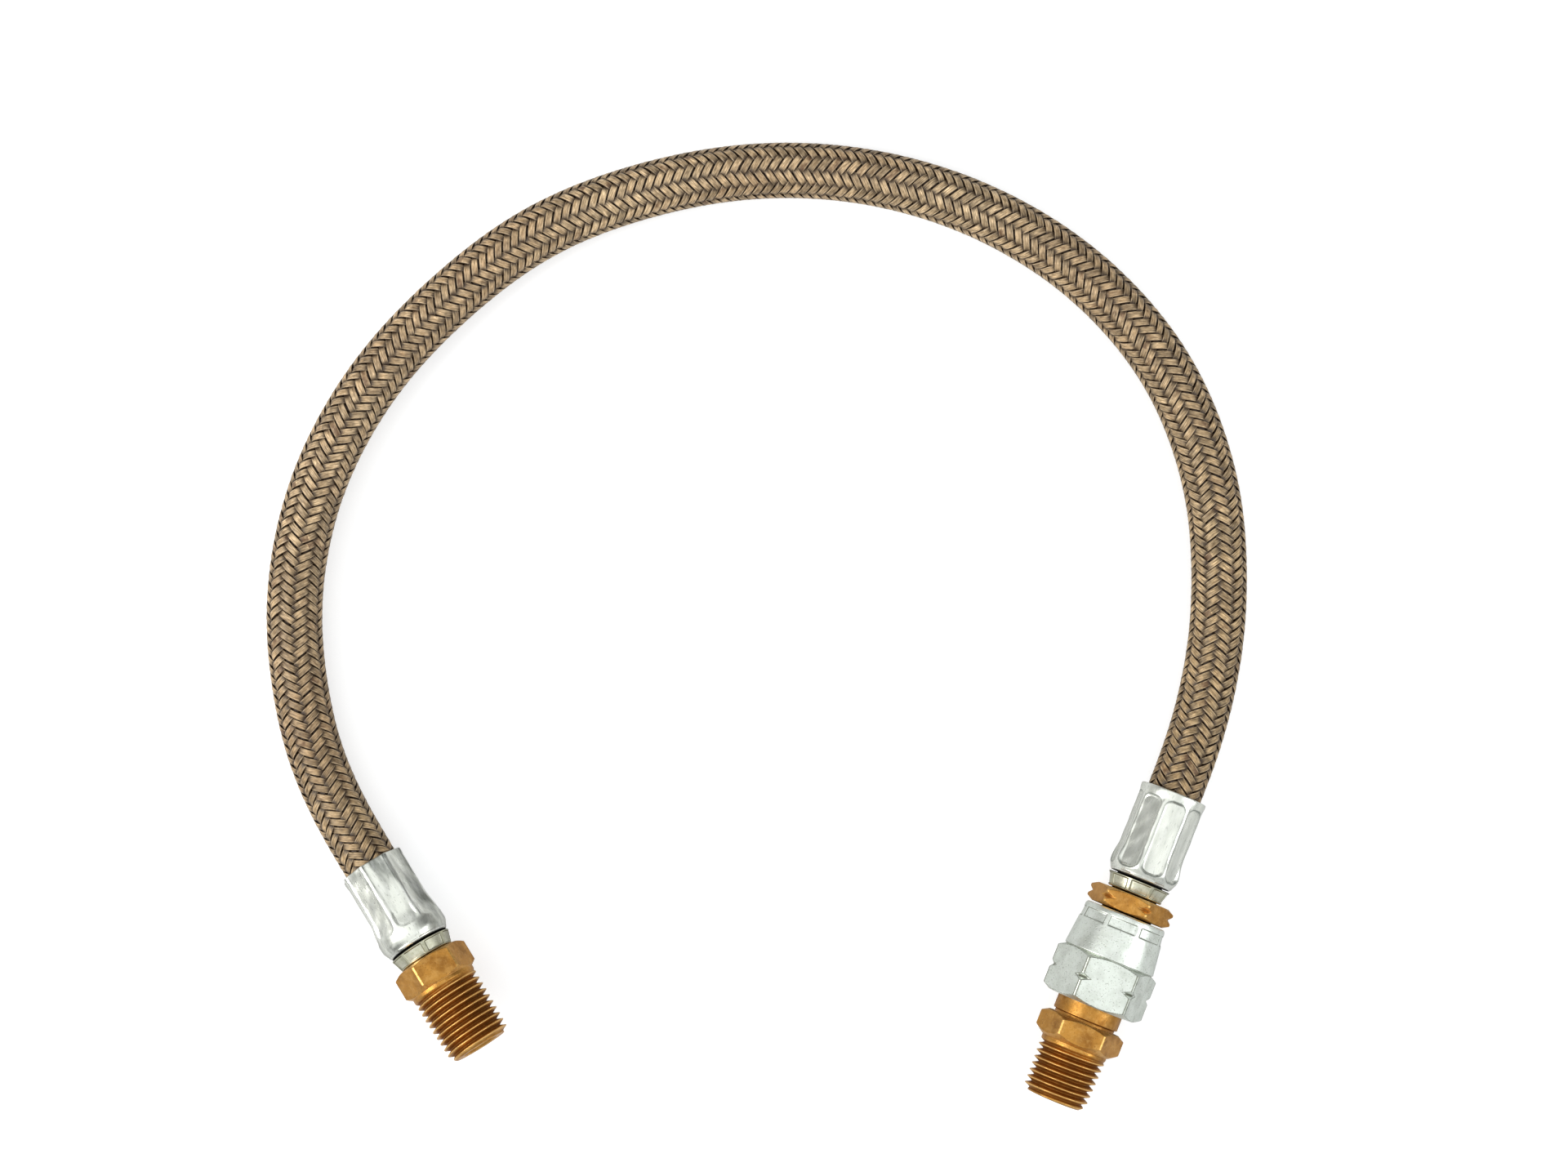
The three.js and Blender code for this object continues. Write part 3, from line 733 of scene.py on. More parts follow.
def make_ferrule(node, axis, settings, material, inset, crimp_end, roll, open_mouth):
    """The crimped cup: its outside, its rounded tail, its flange's bore and its socket."""
    turning = Turning(288)
    station, radius, relief = ferrule_outside(
        turning, settings, inset, crimp_end, roll, open_mouth
    )
    # The rolled lip of the mouth is painted lighter as a highlight.
    for back, inward in ((0.0, 0.3), (0.02, 0.19), (0.12, 0.05)):
        turning.add(MOUTH + back * MM, radius[:1] - inward * MM, 0.7)
    turning.add(station, radius, relief)
    tail = radius[-1].mean()
    turning.profile(
        [
            (tail, FLANGE_END),
            (tail - 0.12 * MM, FLANGE_END + 0.25 * MM),
            (tail - 0.4 * MM, FERRULE_END - 0.05 * MM),
        ]
    )
    turning.hidden(
        [
            (tail - 0.5 * MM, FERRULE_END),
            (SHANK_BORE, FERRULE_END),
            (SHANK_BORE, FLANGE_END),
            (GROOVE_RADIUS + CLEARANCE, FLANGE_END),
            (GROOVE_RADIUS + CLEARANCE, FLANGE_START),
            (SOCKET_RADIUS, FLANGE_START),
            (SOCKET_RADIUS, MOUTH + 0.3 * MM),
            (SOCKET_RADIUS + 0.2 * MM, MOUTH),
        ]
    )
    return turning.make(node, axis, HOSE_BODY, "ferrule_zinc", material, ending="_shell")


MARKS = 8  # pressed rectangles round a locking ring or the nut's shoulder


def pressed_marks(turning, station, roll, first, last, gap):
    """How deep a ring of pressed rectangles goes at each point, and where its outline runs,
    both from 0 to 1."""
    away = np.abs(fold(turning.angle, MARKS, np.radians(90 + roll)))[None, :]
    inside = smooth_step(TURN / MARKS / 2 - gap / 2 - away, 0, 0.03)
    span = smooth_step(station - first, 0, 0.2 * MM) * smooth_step(last - station, 0, 0.2 * MM)
    marks = inside * span
    return marks, 4 * marks * (1 - marks)


def make_ring(node, axis, settings, material, roll):
    """The tapered locking ring, with eight rectangles pressed into its outside."""
    turning = Turning(288)
    turning.hidden(
        [(SHANK_BORE, RING_START), (6.45 * MM, RING_START), (6.6 * MM, RING_START + 0.1 * MM)]
    )
    station = np.linspace(RING_START + 0.17 * MM, RING_END - 0.15 * MM, 40)[:, None]
    share_on = (station - RING_START) / (RING_END - RING_START)
    body = RING_RADIUS - RING_TAPER * share_on
    first, last = RING_START + 0.3 * MM, RING_END - 0.3 * MM
    marks, outline_shade = pressed_marks(turning, station, roll, first, last, 0.12)
    radius = body - settings.mark_depth * marks
    # The floors of the marks are painted a little lighter and their outlines darker as shade.
    turning.add(station[:, 0], radius, 0.5 + 0.15 * marks - 0.75 * outline_shade)
    turning.profile(
        [
            (5.75 * MM, RING_END - 0.1 * MM),
            (5.65 * MM, RING_END),
            (SHANK_BORE, RING_END),
            (SHANK_BORE, RING_START + 0.1 * MM),
        ]
    )
    return turning.make(node, axis, HOSE_BODY, "ring_zinc", material)


def make_male_stem(material):
    """The rigid end's stem: barbed tail, hexagon with a crown, tapered thread and open bore."""
    turning = stem_turning(MALE_ROLL)
    hexagon_rows(turning, MALE_FLATS, HEX_START, MALE_HEX_END, MALE_ROLL, 56, crown=0.05 * MM)
    pipe_thread_rows(turning, MALE_HEX_END + 0.02 * MM, MALE_END, MALE_HEX_END - 1 * MM)
    bore, chamfer = MALE_END_BORE_RADIUS, 0.6 * MM
    turning.profile(
        [
            (PIPE_ROOT_RADIUS, MALE_END),
            (bore + chamfer, MALE_END),
            (bore, MALE_END - chamfer),
            (bore, HEX_START + bore - STEM_BORE_RADIUS),
            (STEM_BORE_RADIUS, HEX_START),
            (STEM_BORE_RADIUS, TAIL_TIP + 0.1 * MM),
        ]
    )
    return turning.make("male_stem", male_axis, HOSE_BODY, "brass", material)


def make_swivel_stem(material):
    """The swivel end's stem: barbed tail, thin notched hexagon, neck, head and cone seat."""
    turning = stem_turning(SWIVEL_ROLL)
    hexagon_rows(turning, SWIVEL_FLATS, HEX_START, SWIVEL_HEX_END, SWIVEL_ROLL, 48, notch=NOTCH)
    # A row at the neck's foot, painted darker as shade in the corner.
    turning.add(SWIVEL_HEX_END, NECK_RADIUS + 0.1 * MM, 0.2)
    turning.hidden(
        [
            (NECK_RADIUS, SWIVEL_HEX_END),
            (NECK_RADIUS, HEAD_START),
            (HEAD_RADIUS, HEAD_START),
            (HEAD_RADIUS, HEAD_END),
            (SEAT_RADIUS, HEAD_END),
            (SEAT_RADIUS - SEAT_DEPTH, HEAD_END - SEAT_DEPTH),
            (STEM_BORE_RADIUS, HEAD_END - SEAT_DEPTH),
            (STEM_BORE_RADIUS, TAIL_TIP + 0.1 * MM),
        ]
    )
    return turning.make("swivel_stem", swivel_axis, HOSE_BODY, "brass", material)


def make_nut(settings, material):
    """The swivel nut: tapered shoulder with pressed marks, notched hexagon, tapped bore."""
    turning = Turning(336, NUT_ROLL)
    back = SHOULDER_BACK_RADIUS
    turning.profile(
        [
            (NECK_RADIUS + CLEARANCE, NUT_BACK),
            (back - 0.35 * MM, NUT_BACK),
            (back, NUT_BACK + 0.35 * MM),
            (back + 0.02 * MM, NUT_BACK + 0.5 * MM),
        ]
    )
    station = np.linspace(NUT_BACK + 0.6 * MM, NUT_HEX_START - 0.05 * MM, 64)[:, None]
    share_on = (station - NUT_BACK) / (NUT_HEX_START - NUT_BACK)
    body = back + (SHOULDER_FRONT_RADIUS - back) * share_on
    first, last = NUT_BACK + 1.2 * MM, NUT_BACK + 3.4 * MM
    marks, outline_shade = pressed_marks(turning, station, NUT_MARK_ROLL, first, last, 0.09)
    radius = body - settings.mark_depth * marks
    # The shoulder is painted a little lighter, with the marks' outlines painted darker as shade.
    turning.add(station[:, 0], radius, 0.6 - 0.62 * outline_shade)
    # The step into the hexagon is painted darker as shade.
    turning.add(NUT_HEX_START, SHOULDER_FRONT_RADIUS - 0.04 * MM, 0.3)
    turning.add(NUT_HEX_START + 0.1 * MM, SHOULDER_FRONT_RADIUS - 0.22 * MM, 0.12)
    start = NUT_HEX_START + 0.12 * MM
    look = {"notch": NOTCH, "shine": 0, "creases": 0.45}
    hexagon_rows(turning, NUT_FLATS, start, NUT_FRONT, NUT_ROLL, 90, **look)
    mouth = FLARE_ROOT_RADIUS + FLARE_DEPTH + TAP_CLEARANCE + 0.2 * MM
    turning.profile([(FACE_SHARE * NUT_FLATS / 2, NUT_FRONT), (mouth, NUT_FRONT)])
    union_thread_rows(
        turning,
        CAVITY_END + 0.2 * MM,
        NUT_FRONT - 0.05 * MM,
        FLARE_ROOT_RADIUS + TAP_CLEARANCE,
        towards=-1,
        least_at=lambda station: mouth - (NUT_FRONT - station),
    )
    turning.profile(
        [
            (CAVITY_RADIUS, CAVITY_END),
            (CAVITY_RADIUS, LIP_END),
            (NECK_RADIUS + CLEARANCE, LIP_END),
            (NECK_RADIUS + CLEARANCE, NUT_BACK + 0.1 * MM),
        ]
    )
    return turning.make("swivel_nut", swivel_axis, NUT_BODY, "nut_zinc", material)


def make_adapter(material):
    """The flare adapter: cone nose, straight thread, neck, groove, hexagon, tapered thread."""
    turning = Turning(300, ADAPTER_ROLL)
    bore = ADAPTER_BORE_RADIUS
    turning.profile([(bore, NOSE_TIP), (NOSE_RADIUS, NOSE_TIP), (FLARE_ROOT_RADIUS, NOSE_END)])
    union_thread_rows(turning, NOSE_END, FLARE_END, FLARE_ROOT_RADIUS)
    # The neck and groove are painted a little darker as shade, with no painted highlight on their
    # corners.
    turning.profile(
        [
            (FLARE_ROOT_RADIUS, FLARE_END + 0.02 * MM),
            (ADAPTER_NECK_RADIUS, FLARE_END + 0.2 * MM),
            (ADAPTER_NECK_RADIUS, NECK_END),
            (ADAPTER_GROOVE_RADIUS, NECK_END + 0.12 * MM),
            (ADAPTER_GROOVE_RADIUS, ADAPTER_HEX_START),
            (FACE_SHARE * ADAPTER_FLATS / 2, ADAPTER_HEX_START),
        ],
        relief=0.36,
        edge=0.5,
    )
    start, end = ADAPTER_HEX_START, ADAPTER_HEX_END
    hexagon_rows(turning, ADAPTER_FLATS, start, end, ADAPTER_ROLL, 50, crown=0.45 * MM)
    pipe_thread_rows(turning, end + 0.02 * MM, ADAPTER_END, end - 1 * MM)
    turning.profile(
        [
            (PIPE_ROOT_RADIUS, ADAPTER_END),
            (bore + 0.3 * MM, ADAPTER_END),
            (bore, ADAPTER_END - 0.3 * MM),
            (bore, NOSE_TIP + 0.1 * MM),
        ]
    )
    return turning.make("flare_adapter", swivel_axis, ADAPTER_BODY, "brass", material)


# ---------------------------------------------------------------- Materials


class Nodes:
    """Short calls for building a node tree."""

    def __init__(self, tree):
        self.tree = tree

    def add(self, kind, **inputs):
        """A node of that kind. Inputs named by socket take a value or another node's output;
        names that start with an underscore set the node's own properties."""
        node = self.tree.nodes.new(kind)
        for key in [k for k in inputs if k.startswith("_")]:
            setattr(node, key[1:], inputs.pop(key))
        self.fill(node, inputs)
        return node

    def fill(self, node, inputs):
        """Gives each input of a node, by name or number, a value or another node's output."""
        for key, value in inputs.items():
            if isinstance(value, bpy.types.NodeSocket):
                self.tree.links.new(value, node.inputs[key])
            else:
                node.inputs[key].default_value = value

    def math(self, operation, a, b=0.0):
        node = self.add("ShaderNodeMath", _operation=operation)
        self.fill(node, {0: a, 1: b})
        return node.outputs[0]

    def mix(self, factor, a, b, blend="MIX"):
        node = self.add("ShaderNodeMix", _data_type="RGBA", _blend_type=blend)
        self.fill(node, {0: factor, 6: a, 7: b})
        return node.outputs[2]

    def span(self, value, low, high, to_low=0.0, to_high=1.0):
        node = self.add("ShaderNodeMapRange")
        self.fill(node, dict(enumerate((value, low, high, to_low, to_high))))
        return node.outputs[0]

    def noise(self, vector, scale, detail=4.0, roughness=0.55):
        return self.add(
            "ShaderNodeTexNoise", Vector=vector, Scale=scale, Detail=detail, Roughness=roughness
        ).outputs["Fac"]


def rgba(values):
    return (*values, 1.0)


def new_material(name, roughness=0.5, metallic=0.0):
    """A material, its nodes, and its shader, whose plain values are set here."""
    material = bpy.data.materials.new(name)
    material.use_nodes = True
    shader = material.node_tree.nodes["Principled BSDF"]
    shader.inputs["Roughness"].default_value = roughness
    shader.inputs["Metallic"].default_value = metallic
    return material, Nodes(material.node_tree), shader


def new_group(name, inputs, outputs):
    """An empty shader node group with the named sockets, and its input and output nodes."""
    tree = bpy.data.node_groups.new(name, "ShaderNodeTree")
    for in_out, sockets in (("INPUT", inputs), ("OUTPUT", outputs)):
        for socket_name, kind in sockets.items():
            tree.interface.new_socket(socket_name, in_out=in_out, socket_type=kind)
    nodes = Nodes(tree)
    return nodes, tree.nodes.new("NodeGroupInput").outputs, tree.nodes.new("NodeGroupOutput").inputs


FLOAT, COLOR, VECTOR = "NodeSocketFloat", "NodeSocketColor", "NodeSocketVector"


def worn_and_painted_light_group():
    """Turned or plated metal with cloudy stains, fine specks and scuffs, plus painted shade in
    recesses and painted highlights on proud edges. Relief is the piece's own mask, from 0 in a
    recess (painted shade) to 1 on an edge (painted highlight), and below 0 the colour is painted
    near black as the shade in narrow gaps."""
    nodes, given, out = new_group(
        "worn metal and painted light",
        {"Relief": FLOAT, "Place": VECTOR, "Metal": COLOR, "Recess": COLOR, "Bright": COLOR}
        | {"Stain": FLOAT, "Specks": FLOAT, "Grain": FLOAT},
        {"Color": COLOR, "Roughness": FLOAT, "Height": FLOAT},
    )
    place = given["Place"]
    clouds = nodes.noise(place, 260.0, 3.0)
    fine = nodes.noise(place, 1500.0, 3.0, 0.65)
    specks = nodes.noise(place, 3200.0, 2.0, 0.5)
    scuffs = nodes.span(nodes.noise(place, 700.0, 5.0, 0.7), 0.45, 0.62)
    wobble = nodes.math("ADD", given["Relief"], nodes.span(fine, 0.3, 0.7, -0.07, 0.07))
    # Painted shade where the mask is low and a painted highlight where it is high.
    deep = nodes.span(wobble, 0.42, 0.08)
    proud = nodes.span(wobble, 0.58, 0.86)
    stained = nodes.math("MULTIPLY", nodes.span(clouds, 0.42, 0.68), given["Stain"])
    # The stain and shade colour serves the real stains and specks and the painted shade in recesses.
    colour = nodes.mix(stained, given["Metal"], given["Recess"])
    colour = nodes.mix(nodes.math("MULTIPLY", scuffs, 0.25), colour, given["Bright"])
    colour = nodes.mix(deep, colour, given["Recess"])
    colour = nodes.mix(nodes.math("MULTIPLY", proud, 0.85), colour, given["Bright"])
    pits = nodes.math("MULTIPLY", nodes.span(specks, 0.6, 0.7), given["Specks"])
    colour = nodes.mix(pits, colour, given["Recess"])
    # Parts below 0 only show in narrow gaps and are painted near black as their shade.
    gap_shade = nodes.span(given["Relief"], 0.0, -0.4)
    colour = nodes.mix(gap_shade, colour, (0.012, 0.010, 0.008, 1))
    nodes.tree.links.new(colour, out["Color"])
    rough = nodes.math("ADD", nodes.math("MULTIPLY", deep, 0.18), nodes.math("MULTIPLY", fine, 0.14))
    rough = nodes.math("ADD", rough, nodes.math("MULTIPLY", stained, 0.12))
    nodes.tree.links.new(rough, out["Roughness"])
    height = nodes.math("MULTIPLY", fine, given["Grain"])
    height = nodes.math("SUBTRACT", height, nodes.math("MULTIPLY", pits, 0.6))
    nodes.tree.links.new(height, out["Height"])
    return nodes.tree


def metal_material(name, metal, recess, bright, stain, specks, grain, roughness, bump, drawn=None):
    """A metal finish made from the group of worn metal and painted light. Roughness is added to the
    group's own, and marks are drawn out along the axis of a fitting where one is given."""
    material, nodes, shader = new_material(name, metallic=1.0)
    place = nodes.add("ShaderNodeTexCoord").outputs["Object"]
    if drawn is not None:
        place = nodes.add(
            "ShaderNodeMapping",
            _vector_type="TEXTURE",
            Vector=place,
            Rotation=(0, 0, float(np.arctan2(drawn.outward[0], -drawn.outward[1]))),
            Scale=(1, 4, 1),
        ).outputs[0]
    relief = nodes.add("ShaderNodeAttribute", _attribute_name="relief").outputs["Fac"]
    worn = nodes.add(
        "ShaderNodeGroup",
        _node_tree=bpy.data.node_groups["worn metal and painted light"],
        Relief=relief,
        Place=place,
        Metal=rgba(metal),
        Recess=rgba(recess),
        Bright=rgba(bright),
        Stain=stain,
        Specks=specks,
        Grain=grain,
    ).outputs
    rough = nodes.math("ADD", worn["Roughness"], roughness)
    lumps = nodes.add("ShaderNodeBump", Strength=bump, Distance=0.05 * MM, Height=worn["Height"])
    normal = lumps.outputs["Normal"]
    nodes.fill(shader, {"Base Color": worn["Color"], "Roughness": rough, "Normal": normal})
    return material


def braid_material(settings):
    """Ribbons of fine filaments: pale lines along the ribbon, partly painted sheen, each float its
    own tone, and brown stains that spread over neighbouring floats. Each float is painted lighter on
    its crest and darker as shade where it dives under the other family; its edges get a painted
    highlight on top and a near black line of painted shade in the gap; and the whole is darker and
    browner towards low Y and high X."""
    material, nodes, shader = new_material("braided taupe filament", roughness=0.36)
    weave = nodes.add("ShaderNodeUVMap", _uv_map="weave").outputs["UV"]
    place = nodes.add("ShaderNodeTexCoord").outputs["Object"]
    tone = nodes.add("ShaderNodeAttribute", _attribute_name="tone").outputs["Fac"]
    swell = nodes.add("ShaderNodeAttribute", _attribute_name="swell").outputs["Fac"]
    across = nodes.add("ShaderNodeSeparateXYZ", Vector=weave).outputs["X"]
    across = nodes.math("MODULO", nodes.math("ADD", across, 20.0), 40.0)
    across = nodes.math("ABSOLUTE", nodes.math("SUBTRACT", across, 20.0))
    stretched = nodes.add("ShaderNodeMapping", Vector=weave, Scale=(7.0, 0.45, 1.0)).outputs[0]
    filaments = nodes.noise(stretched, 1.0, 3.0, 0.6)
    wide = nodes.add("ShaderNodeMapping", Vector=weave, Scale=(2.2, 0.8, 1.0)).outputs[0]
    coarse = nodes.noise(wide, 1.0, 2.0)
    clouds = nodes.noise(place, 90.0, 3.0)
    blots = nodes.noise(place, 420.0, 2.0)
    # Pale filament lines: partly the filaments' own colour, partly painted sheen.
    pale_and_sheen = nodes.span(filaments, 0.40, 0.68)
    colour = nodes.mix(pale_and_sheen, rgba(settings.taupe), rgba(settings.pale_and_sheen))
    # Painted shade where a ribbon dives under the other family.
    dive = nodes.span(swell, 0.72, 0.46, 0.0, 0.85)
    browned = nodes.span(nodes.noise(place, 16.0, 3.0), 0.42, 0.7, 0.0, 0.55)
    colour = nodes.mix(browned, colour, (0.20, 0.115, 0.055, 1))
    # Darker and browner towards low Y and high X.
    apart = nodes.add("ShaderNodeSeparateXYZ", Vector=place).outputs
    darker_low_y = nodes.math("SUBTRACT", nodes.math("MULTIPLY", apart["X"], 0.35), apart["Y"])
    darker_low_y = nodes.span(darker_low_y, -0.14, 0.0)
    colour = nodes.mix(darker_low_y, colour, (0.70, 0.66, 0.56, 1), "MULTIPLY")
    # Each float's own tone and a coarse variation, times a painted highlight on its crest and
    # painted shade towards its ends.
    lightness = nodes.span(tone, 0.0, 1.0, 0.58, 1.24)
    lightness = nodes.math("MULTIPLY", lightness, nodes.span(coarse, 0.3, 0.7, 0.60, 1.34))
    lightness = nodes.math("MULTIPLY", lightness, nodes.span(swell, 0.44, 0.90, 0.20, 1.40))
    shade = nodes.add("ShaderNodeCombineColor", Red=lightness, Green=lightness, Blue=lightness)
    colour = nodes.mix(1.0, colour, shade.outputs[0], "MULTIPLY")
    chosen = nodes.math("ADD", nodes.span(tone, 0.90, 0.93), nodes.span(blots, 0.5, 0.78, -0.7, 0.7))
    spread = nodes.span(clouds, 0.36, 0.62, 0.55, 1.0)
    stained = nodes.math("MULTIPLY", nodes.math("MAXIMUM", chosen, 0.0), spread)
    stained = nodes.math("MINIMUM", stained, 0.8)
    colour = nodes.mix(stained, colour, rgba(settings.stain))
    colour = nodes.mix(dive, colour, (0.040, 0.020, 0.009, 1))
    # A painted highlight along the ribbon's edges where it lies on top.
    edge_sheen = nodes.math("MULTIPLY", nodes.span(across, 0.42, 0.50), nodes.span(swell, 0.35, 0.7))
    edge_sheen = nodes.math("MULTIPLY", edge_sheen, nodes.span(coarse, 0.40, 0.62, 0.1, 0.75))
    colour = nodes.mix(edge_sheen, colour, rgba(settings.pale_and_sheen))
    # A near black line of painted shade along the ribbon's edges, in the gaps.
    colour = nodes.mix(nodes.span(across, 0.55, 0.63, 0.0, 0.95), colour, (0.035, 0.018, 0.008, 1))
    height = nodes.math("ADD", filaments, nodes.math("MULTIPLY", coarse, 0.6))
    lumps = nodes.add("ShaderNodeBump", Strength=0.8, Distance=0.1 * MM, Height=height)
    nodes.fill(shader, {"Base Color": colour, "Normal": lumps.outputs["Normal"]})
    shader.inputs["Specular IOR Level"].default_value = 0.32
    return material


def core_material():
    """The dark, fuzzy layer that shows between the ribbons."""
    material, nodes, shader = new_material("dark layer under the braid", roughness=0.9)
    place = nodes.add("ShaderNodeTexCoord").outputs["Object"]
    fuzz = nodes.noise(place, 2400.0, 4.0)
    colour = nodes.mix(fuzz, (0.02, 0.012, 0.007, 1), (0.07, 0.042, 0.024, 1))
    bump = nodes.add("ShaderNodeBump", Strength=0.6, Distance=0.1 * MM, Height=fuzz)
    nodes.fill(shader, {"Base Color": colour, "Normal": bump.outputs["Normal"]})
    return material


def table_material():
    """White paper with a faint unevenness, lit from behind where the camera sees it directly."""
    material, nodes, shader = new_material("white table", roughness=0.8)
    place = nodes.add("ShaderNodeTexCoord").outputs["Object"]
    tint = nodes.mix(nodes.noise(place, 3.0, 2.0), (0.62, 0.62, 0.63, 1), (0.64, 0.64, 0.64, 1))
    shader.inputs["Emission Color"].default_value = (1, 1, 1, 1)
    seen = nodes.add("ShaderNodeLightPath").outputs["Is Camera Ray"]
    glow = nodes.math("MULTIPLY", seen, 0.56)
    nodes.fill(shader, {"Base Color": tint, "Emission Strength": glow})
    return material


def ferrule_zinc(settings, name, axis, recess, stain):
    # bright serves both the scuffs and the painted highlights on edges.
    bright = (0.98, 0.99, 0.96)
    return metal_material(name, settings.zinc, recess, bright, stain, 0.35, 0.5, 0.2, 0.5, axis)


def ring_zinc(settings):
    # dark serves both the stains and the painted shade, bright both the scuffs and the painted
    # highlights.
    dark, bright = (0.16, 0.15, 0.10), (0.85, 0.85, 0.76)
    metal = settings.ring_zinc
    return metal_material("dull zinc plate", metal, dark, bright, 0.5, 0.3, 0.6, 0.26, 0.6)


def nut_zinc(settings):
    # dark serves both the stains and the painted shade, bright both the scuffs and the painted
    # highlights.
    dark, bright = (0.22, 0.23, 0.18), (0.93, 0.95, 0.93)
    metal = settings.nut_zinc
    return metal_material("speckled zinc plate", metal, dark, bright, 0.3, 0.6, 0.8, 0.3, 0.8)


def brass(settings):
    # dark serves both the stains and the painted shade, bright both the scuffs and the painted
    # highlights.
    metal, dark, bright = settings.brass, settings.tarnish_and_shade, (0.86, 0.53, 0.18)
    return metal_material("machined brass", metal, dark, bright, 0.8, 0.6, 0.8, 0.30, 0.9)


# ---------------------------------------------------------------- Operators

HOSE_CENTRE = (0, 0.07, 0)  # the middle of the table and the point that the lights face


class GASHOSE_OT_stage(bpy.types.Operator):
    """Makes the camera straight over the hose, the white table and the soft lights."""

    bl_idname = "gashose.stage"
    bl_label = "Stage"

    def execute(self, context):
        scene = context.scene
        settings = scene.gashose_stage
        camera = bpy.data.cameras.new("overhead camera")
        camera.lens = settings.lens
        camera.sensor_width = 36
        camera.clip_start = 0.01
        camera.clip_end = 20
        eye = bpy.data.objects.new("overhead camera", camera)
        eye.location = (settings.camera_x, settings.camera_y, settings.camera_height)
        scene.collection.objects.link(eye)
        scene.camera = eye
        scene.view_settings.view_transform = "Standard"
        self.make_table(scene)
        self.make_lights(scene)
        return {"FINISHED"}

    def make_table(self, scene):
        """A round table top: rings of points round the hose, at the height that it lies on."""
        radii = np.array([0.2, 0.6, 1.6, 4.0])[:, None]
        sides = 64
        angles = np.linspace(0, TURN, sides, endpoint=False)
        x = radii * np.cos(angles)
        y = radii * np.sin(angles) + HOSE_CENTRE[1]
        rings = np.stack([x, y, 0 * x], axis=-1).reshape(-1, 3)
        points = np.vstack([[HOSE_CENTRE], rings])
        row, column = np.meshgrid(np.arange(len(radii) - 1), np.arange(sides), indexing="ij")
        here, beside = 1 + row * sides + column, 1 + row * sides + (column + 1) % sides
        quads = np.stack([here, here + sides, beside + sides, beside], axis=-1).reshape(-1, 4)
        fan = [(0, 1 + k, 1 + (k + 1) % sides) for k in range(sides)]
        mesh = bpy.data.meshes.new("table_top")
        mesh.from_pydata(points.tolist(), [], fan + quads.tolist())
        table = bpy.data.objects.new("table_top", mesh)
        mesh.materials.append(table_material())
        scene.collection.objects.link(table)

    def make_lights(self, scene):
        world = bpy.data.worlds.new("white studio")
        scene.world = world
        world.use_nodes = True
        nodes = Nodes(world.node_tree)
        shader = world.node_tree.nodes["Background"]
        direction = nodes.add("ShaderNodeTexCoord").outputs["Generated"]
        upward = nodes.add("ShaderNodeSeparateXYZ", Vector=direction).outputs["Z"]
        patches = nodes.span(nodes.noise(direction, 2.3, 1.0), 0.42, 0.62, 0.0, 0.8)
        patches = nodes.math("MAXIMUM", patches, nodes.span(upward, 0.5, 0.78))
        sky = nodes.mix(patches, (0.04, 0.042, 0.04, 1), (1.18, 1.2, 1.2, 1))
        seen = nodes.add("ShaderNodeLightPath").outputs["Is Camera Ray"]
        sky = nodes.mix(seen, sky, (1.1, 1.1, 1.1, 1))
        world.node_tree.links.new(sky, shader.inputs["Color"])
        shader.inputs["Strength"].default_value = 0.9
        lights = (
            ("left softbox", (-0.6, 0.0, 0.5), 0.4, 3.4, (1.0, 0.985, 0.96)),
            ("right softbox", (0.6, -0.1, 0.45), 0.3, 1.2, (0.96, 0.985, 1.0)),
        )
        for name, place, size, power, tint in lights:
            light = bpy.data.lights.new(name, "AREA")
            light.size = size
            light.energy = power
            light.color = tint
            lamp = bpy.data.objects.new(name, light)
            back = unit(np.array(place) - HOSE_CENTRE)
            side = unit(np.cross((0, 0, 1), back))
            turn = np.stack([side, np.cross(back, side), back], axis=1)
            lamp.matrix_world = Matrix.Translation(place) @ Matrix(turn.tolist()).to_4x4()
            scene.collection.objects.link(lamp)


class GASHOSE_OT_hose(bpy.types.Operator):
    """Makes the hose: a dark core tube and the woven ribbons round it."""

    bl_idname = "gashose.hose"
    bl_label = "Braided hose"

    def execute(self, context):
        settings = context.scene.gashose_braid
        points, faces = core_tube(hose_line)
        layers = ("hose_liner", "hose_reinforcement", "hose_cover")
        core = make_object(
            "hose_core", points, faces, HOSE_BODY, core_material(), layers
        )
        material = braid_material(settings)
        half = settings.carriers // 2
        for family, way in ((1, "right"), (-1, "left")):
            for part, carriers in enumerate((range(half), range(half, settings.carriers))):
                name = f"braid_{way}_{part + 1}"
                make_ribbons(name, hose_line, settings, family, carriers, material)
        return {"FINISHED"}


class GASHOSE_OT_ferrules(bpy.types.Operator):
    """Makes both crimped ferrules."""

    bl_idname = "gashose.ferrules"
    bl_label = "Crimped ferrules"

    def execute(self, context):
        settings = context.scene.gashose_fittings
        # Each ferrule's stain and shade colour serves its stains and the shade painted into its
        # crimp outlines and gaps.
        axis, recess = male_axis, (0.07, 0.08, 0.07)
        material = ferrule_zinc(settings, "streaked zinc plate", axis, recess, 0.8)
        make_ferrule("male_ferrule", axis, settings, material, 0.4 * MM, -0.3 * MM, -15, True)
        axis, recess = swivel_axis, (0.30, 0.32, 0.29)
        material = ferrule_zinc(settings, "bright zinc plate", axis, recess, 0.5)
        make_ferrule("swivel_ferrule", axis, settings, material, 1.9 * MM, 1.9 * MM, -3, False)
        return {"FINISHED"}


class GASHOSE_OT_rings(bpy.types.Operator):
    """Makes both tapered locking rings."""

    bl_idname = "gashose.rings"
    bl_label = "Locking rings"

    def execute(self, context):
        settings = context.scene.gashose_fittings
        material = ring_zinc(settings)
        make_ring("male_locking_ring", male_axis, settings, material, 6)
        make_ring("swivel_locking_ring", swivel_axis, settings, material, 4)
        return {"FINISHED"}


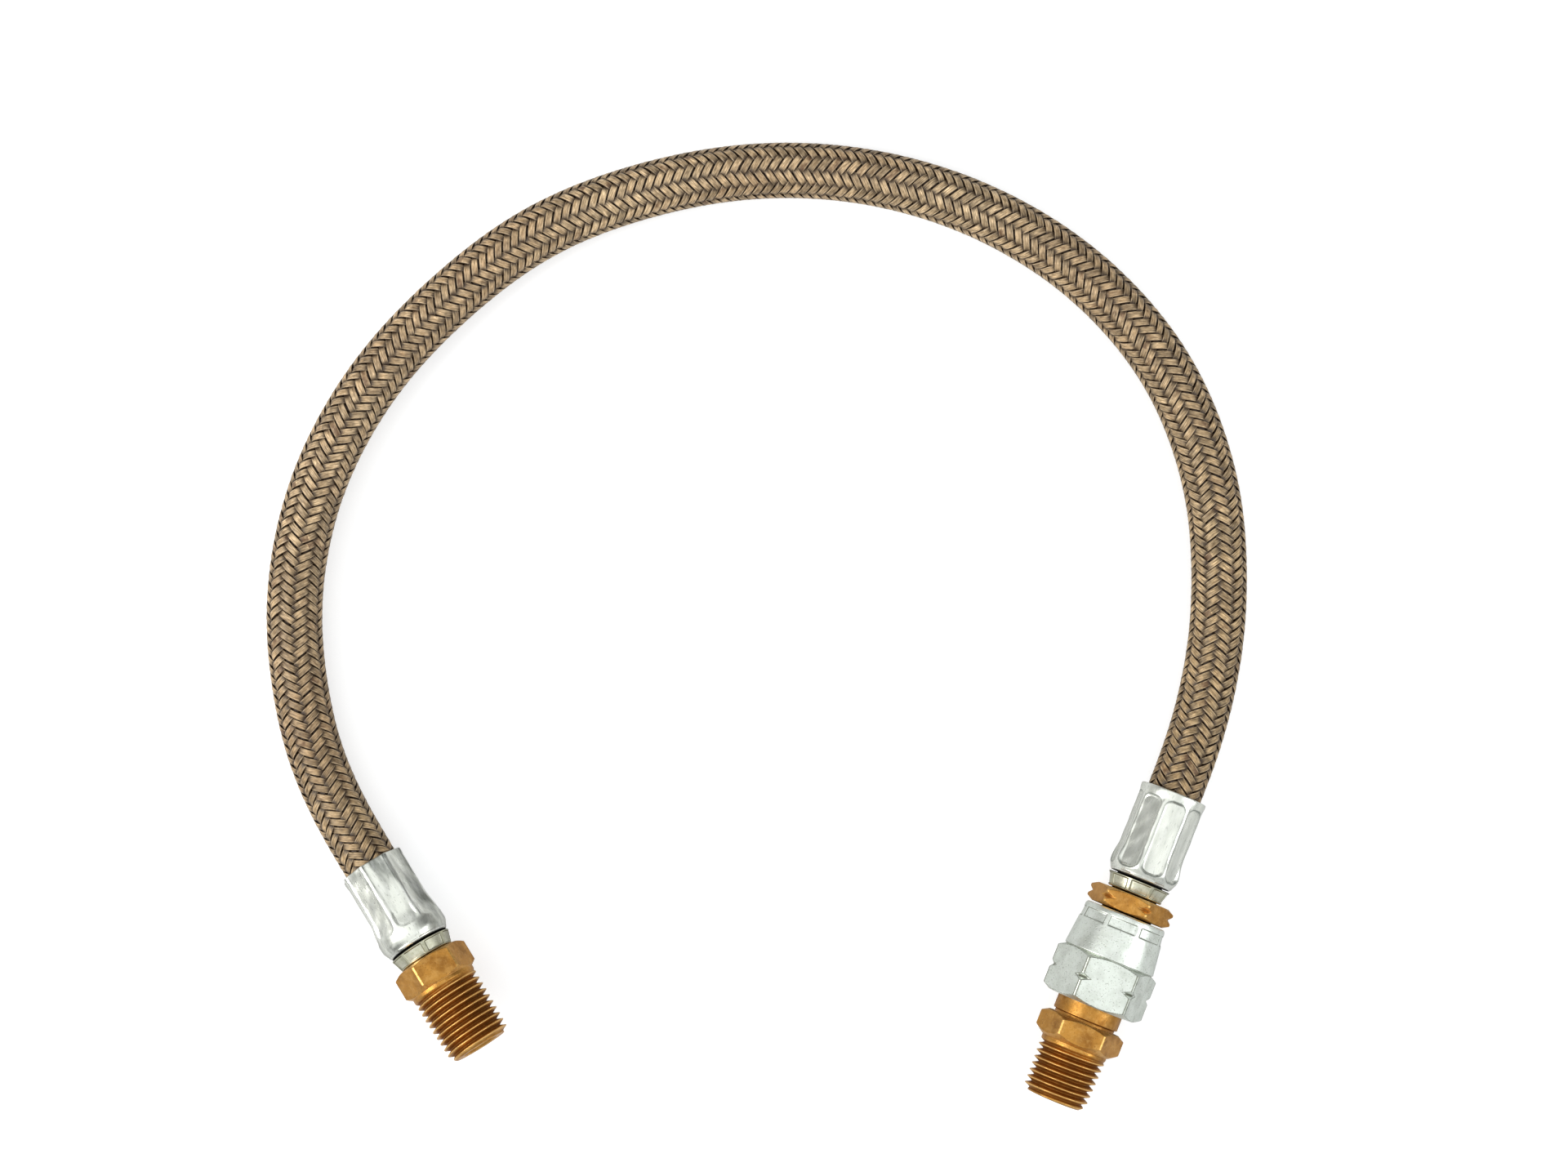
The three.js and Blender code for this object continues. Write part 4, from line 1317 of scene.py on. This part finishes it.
class GASHOSE_OT_brass(bpy.types.Operator):
    """Makes the brass pieces: both stems and the flare adapter."""

    bl_idname = "gashose.brass"
    bl_label = "Brass stems and adapter"

    def execute(self, context):
        material = brass(context.scene.gashose_fittings)
        make_male_stem(material)
        make_swivel_stem(material)
        make_adapter(material)
        return {"FINISHED"}


class GASHOSE_OT_nut(bpy.types.Operator):
    """Makes the swivel nut."""

    bl_idname = "gashose.nut"
    bl_label = "Swivel nut"

    def execute(self, context):
        settings = context.scene.gashose_fittings
        make_nut(settings, nut_zinc(settings))
        return {"FINISHED"}


class GASHOSE_PT_panel(bpy.types.Panel):
    """Lists the settings and the steps of the gas hose."""

    bl_label = "Gas Hose"
    bl_idname = "GASHOSE_PT_panel"
    bl_space_type = "VIEW_3D"
    bl_region_type = "UI"
    bl_category = "Gas Hose"

    def draw(self, context):
        layout = self.layout
        for group in SETTINGS:
            settings = getattr(context.scene, group)
            box = layout.box()
            for name in settings.__annotations__:
                box.prop(settings, name)
        for operator in OPERATORS:
            layout.operator(operator.bl_idname)


SETTINGS = {
    "gashose_braid": BraidSettings,
    "gashose_fittings": FittingSettings,
    "gashose_stage": StageSettings,
}
OPERATORS = (
    GASHOSE_OT_stage,
    GASHOSE_OT_hose,
    GASHOSE_OT_ferrules,
    GASHOSE_OT_rings,
    GASHOSE_OT_brass,
    GASHOSE_OT_nut,
)


def register():
    for group, settings in SETTINGS.items():
        bpy.utils.register_class(settings)
        setattr(bpy.types.Scene, group, PointerProperty(type=settings))
    for operator in OPERATORS:
        bpy.utils.register_class(operator)
    bpy.utils.register_class(GASHOSE_PT_panel)


def unregister():
    bpy.utils.unregister_class(GASHOSE_PT_panel)
    for operator in reversed(OPERATORS):
        bpy.utils.unregister_class(operator)
    for group, settings in SETTINGS.items():
        delattr(bpy.types.Scene, group)
        bpy.utils.unregister_class(settings)


def main():
    register()
    worn_and_painted_light_group()
    bpy.ops.gashose.stage()
    bpy.ops.gashose.hose()
    bpy.ops.gashose.ferrules()
    bpy.ops.gashose.rings()
    bpy.ops.gashose.brass()
    bpy.ops.gashose.nut()


if __name__ == "__main__":
    main()
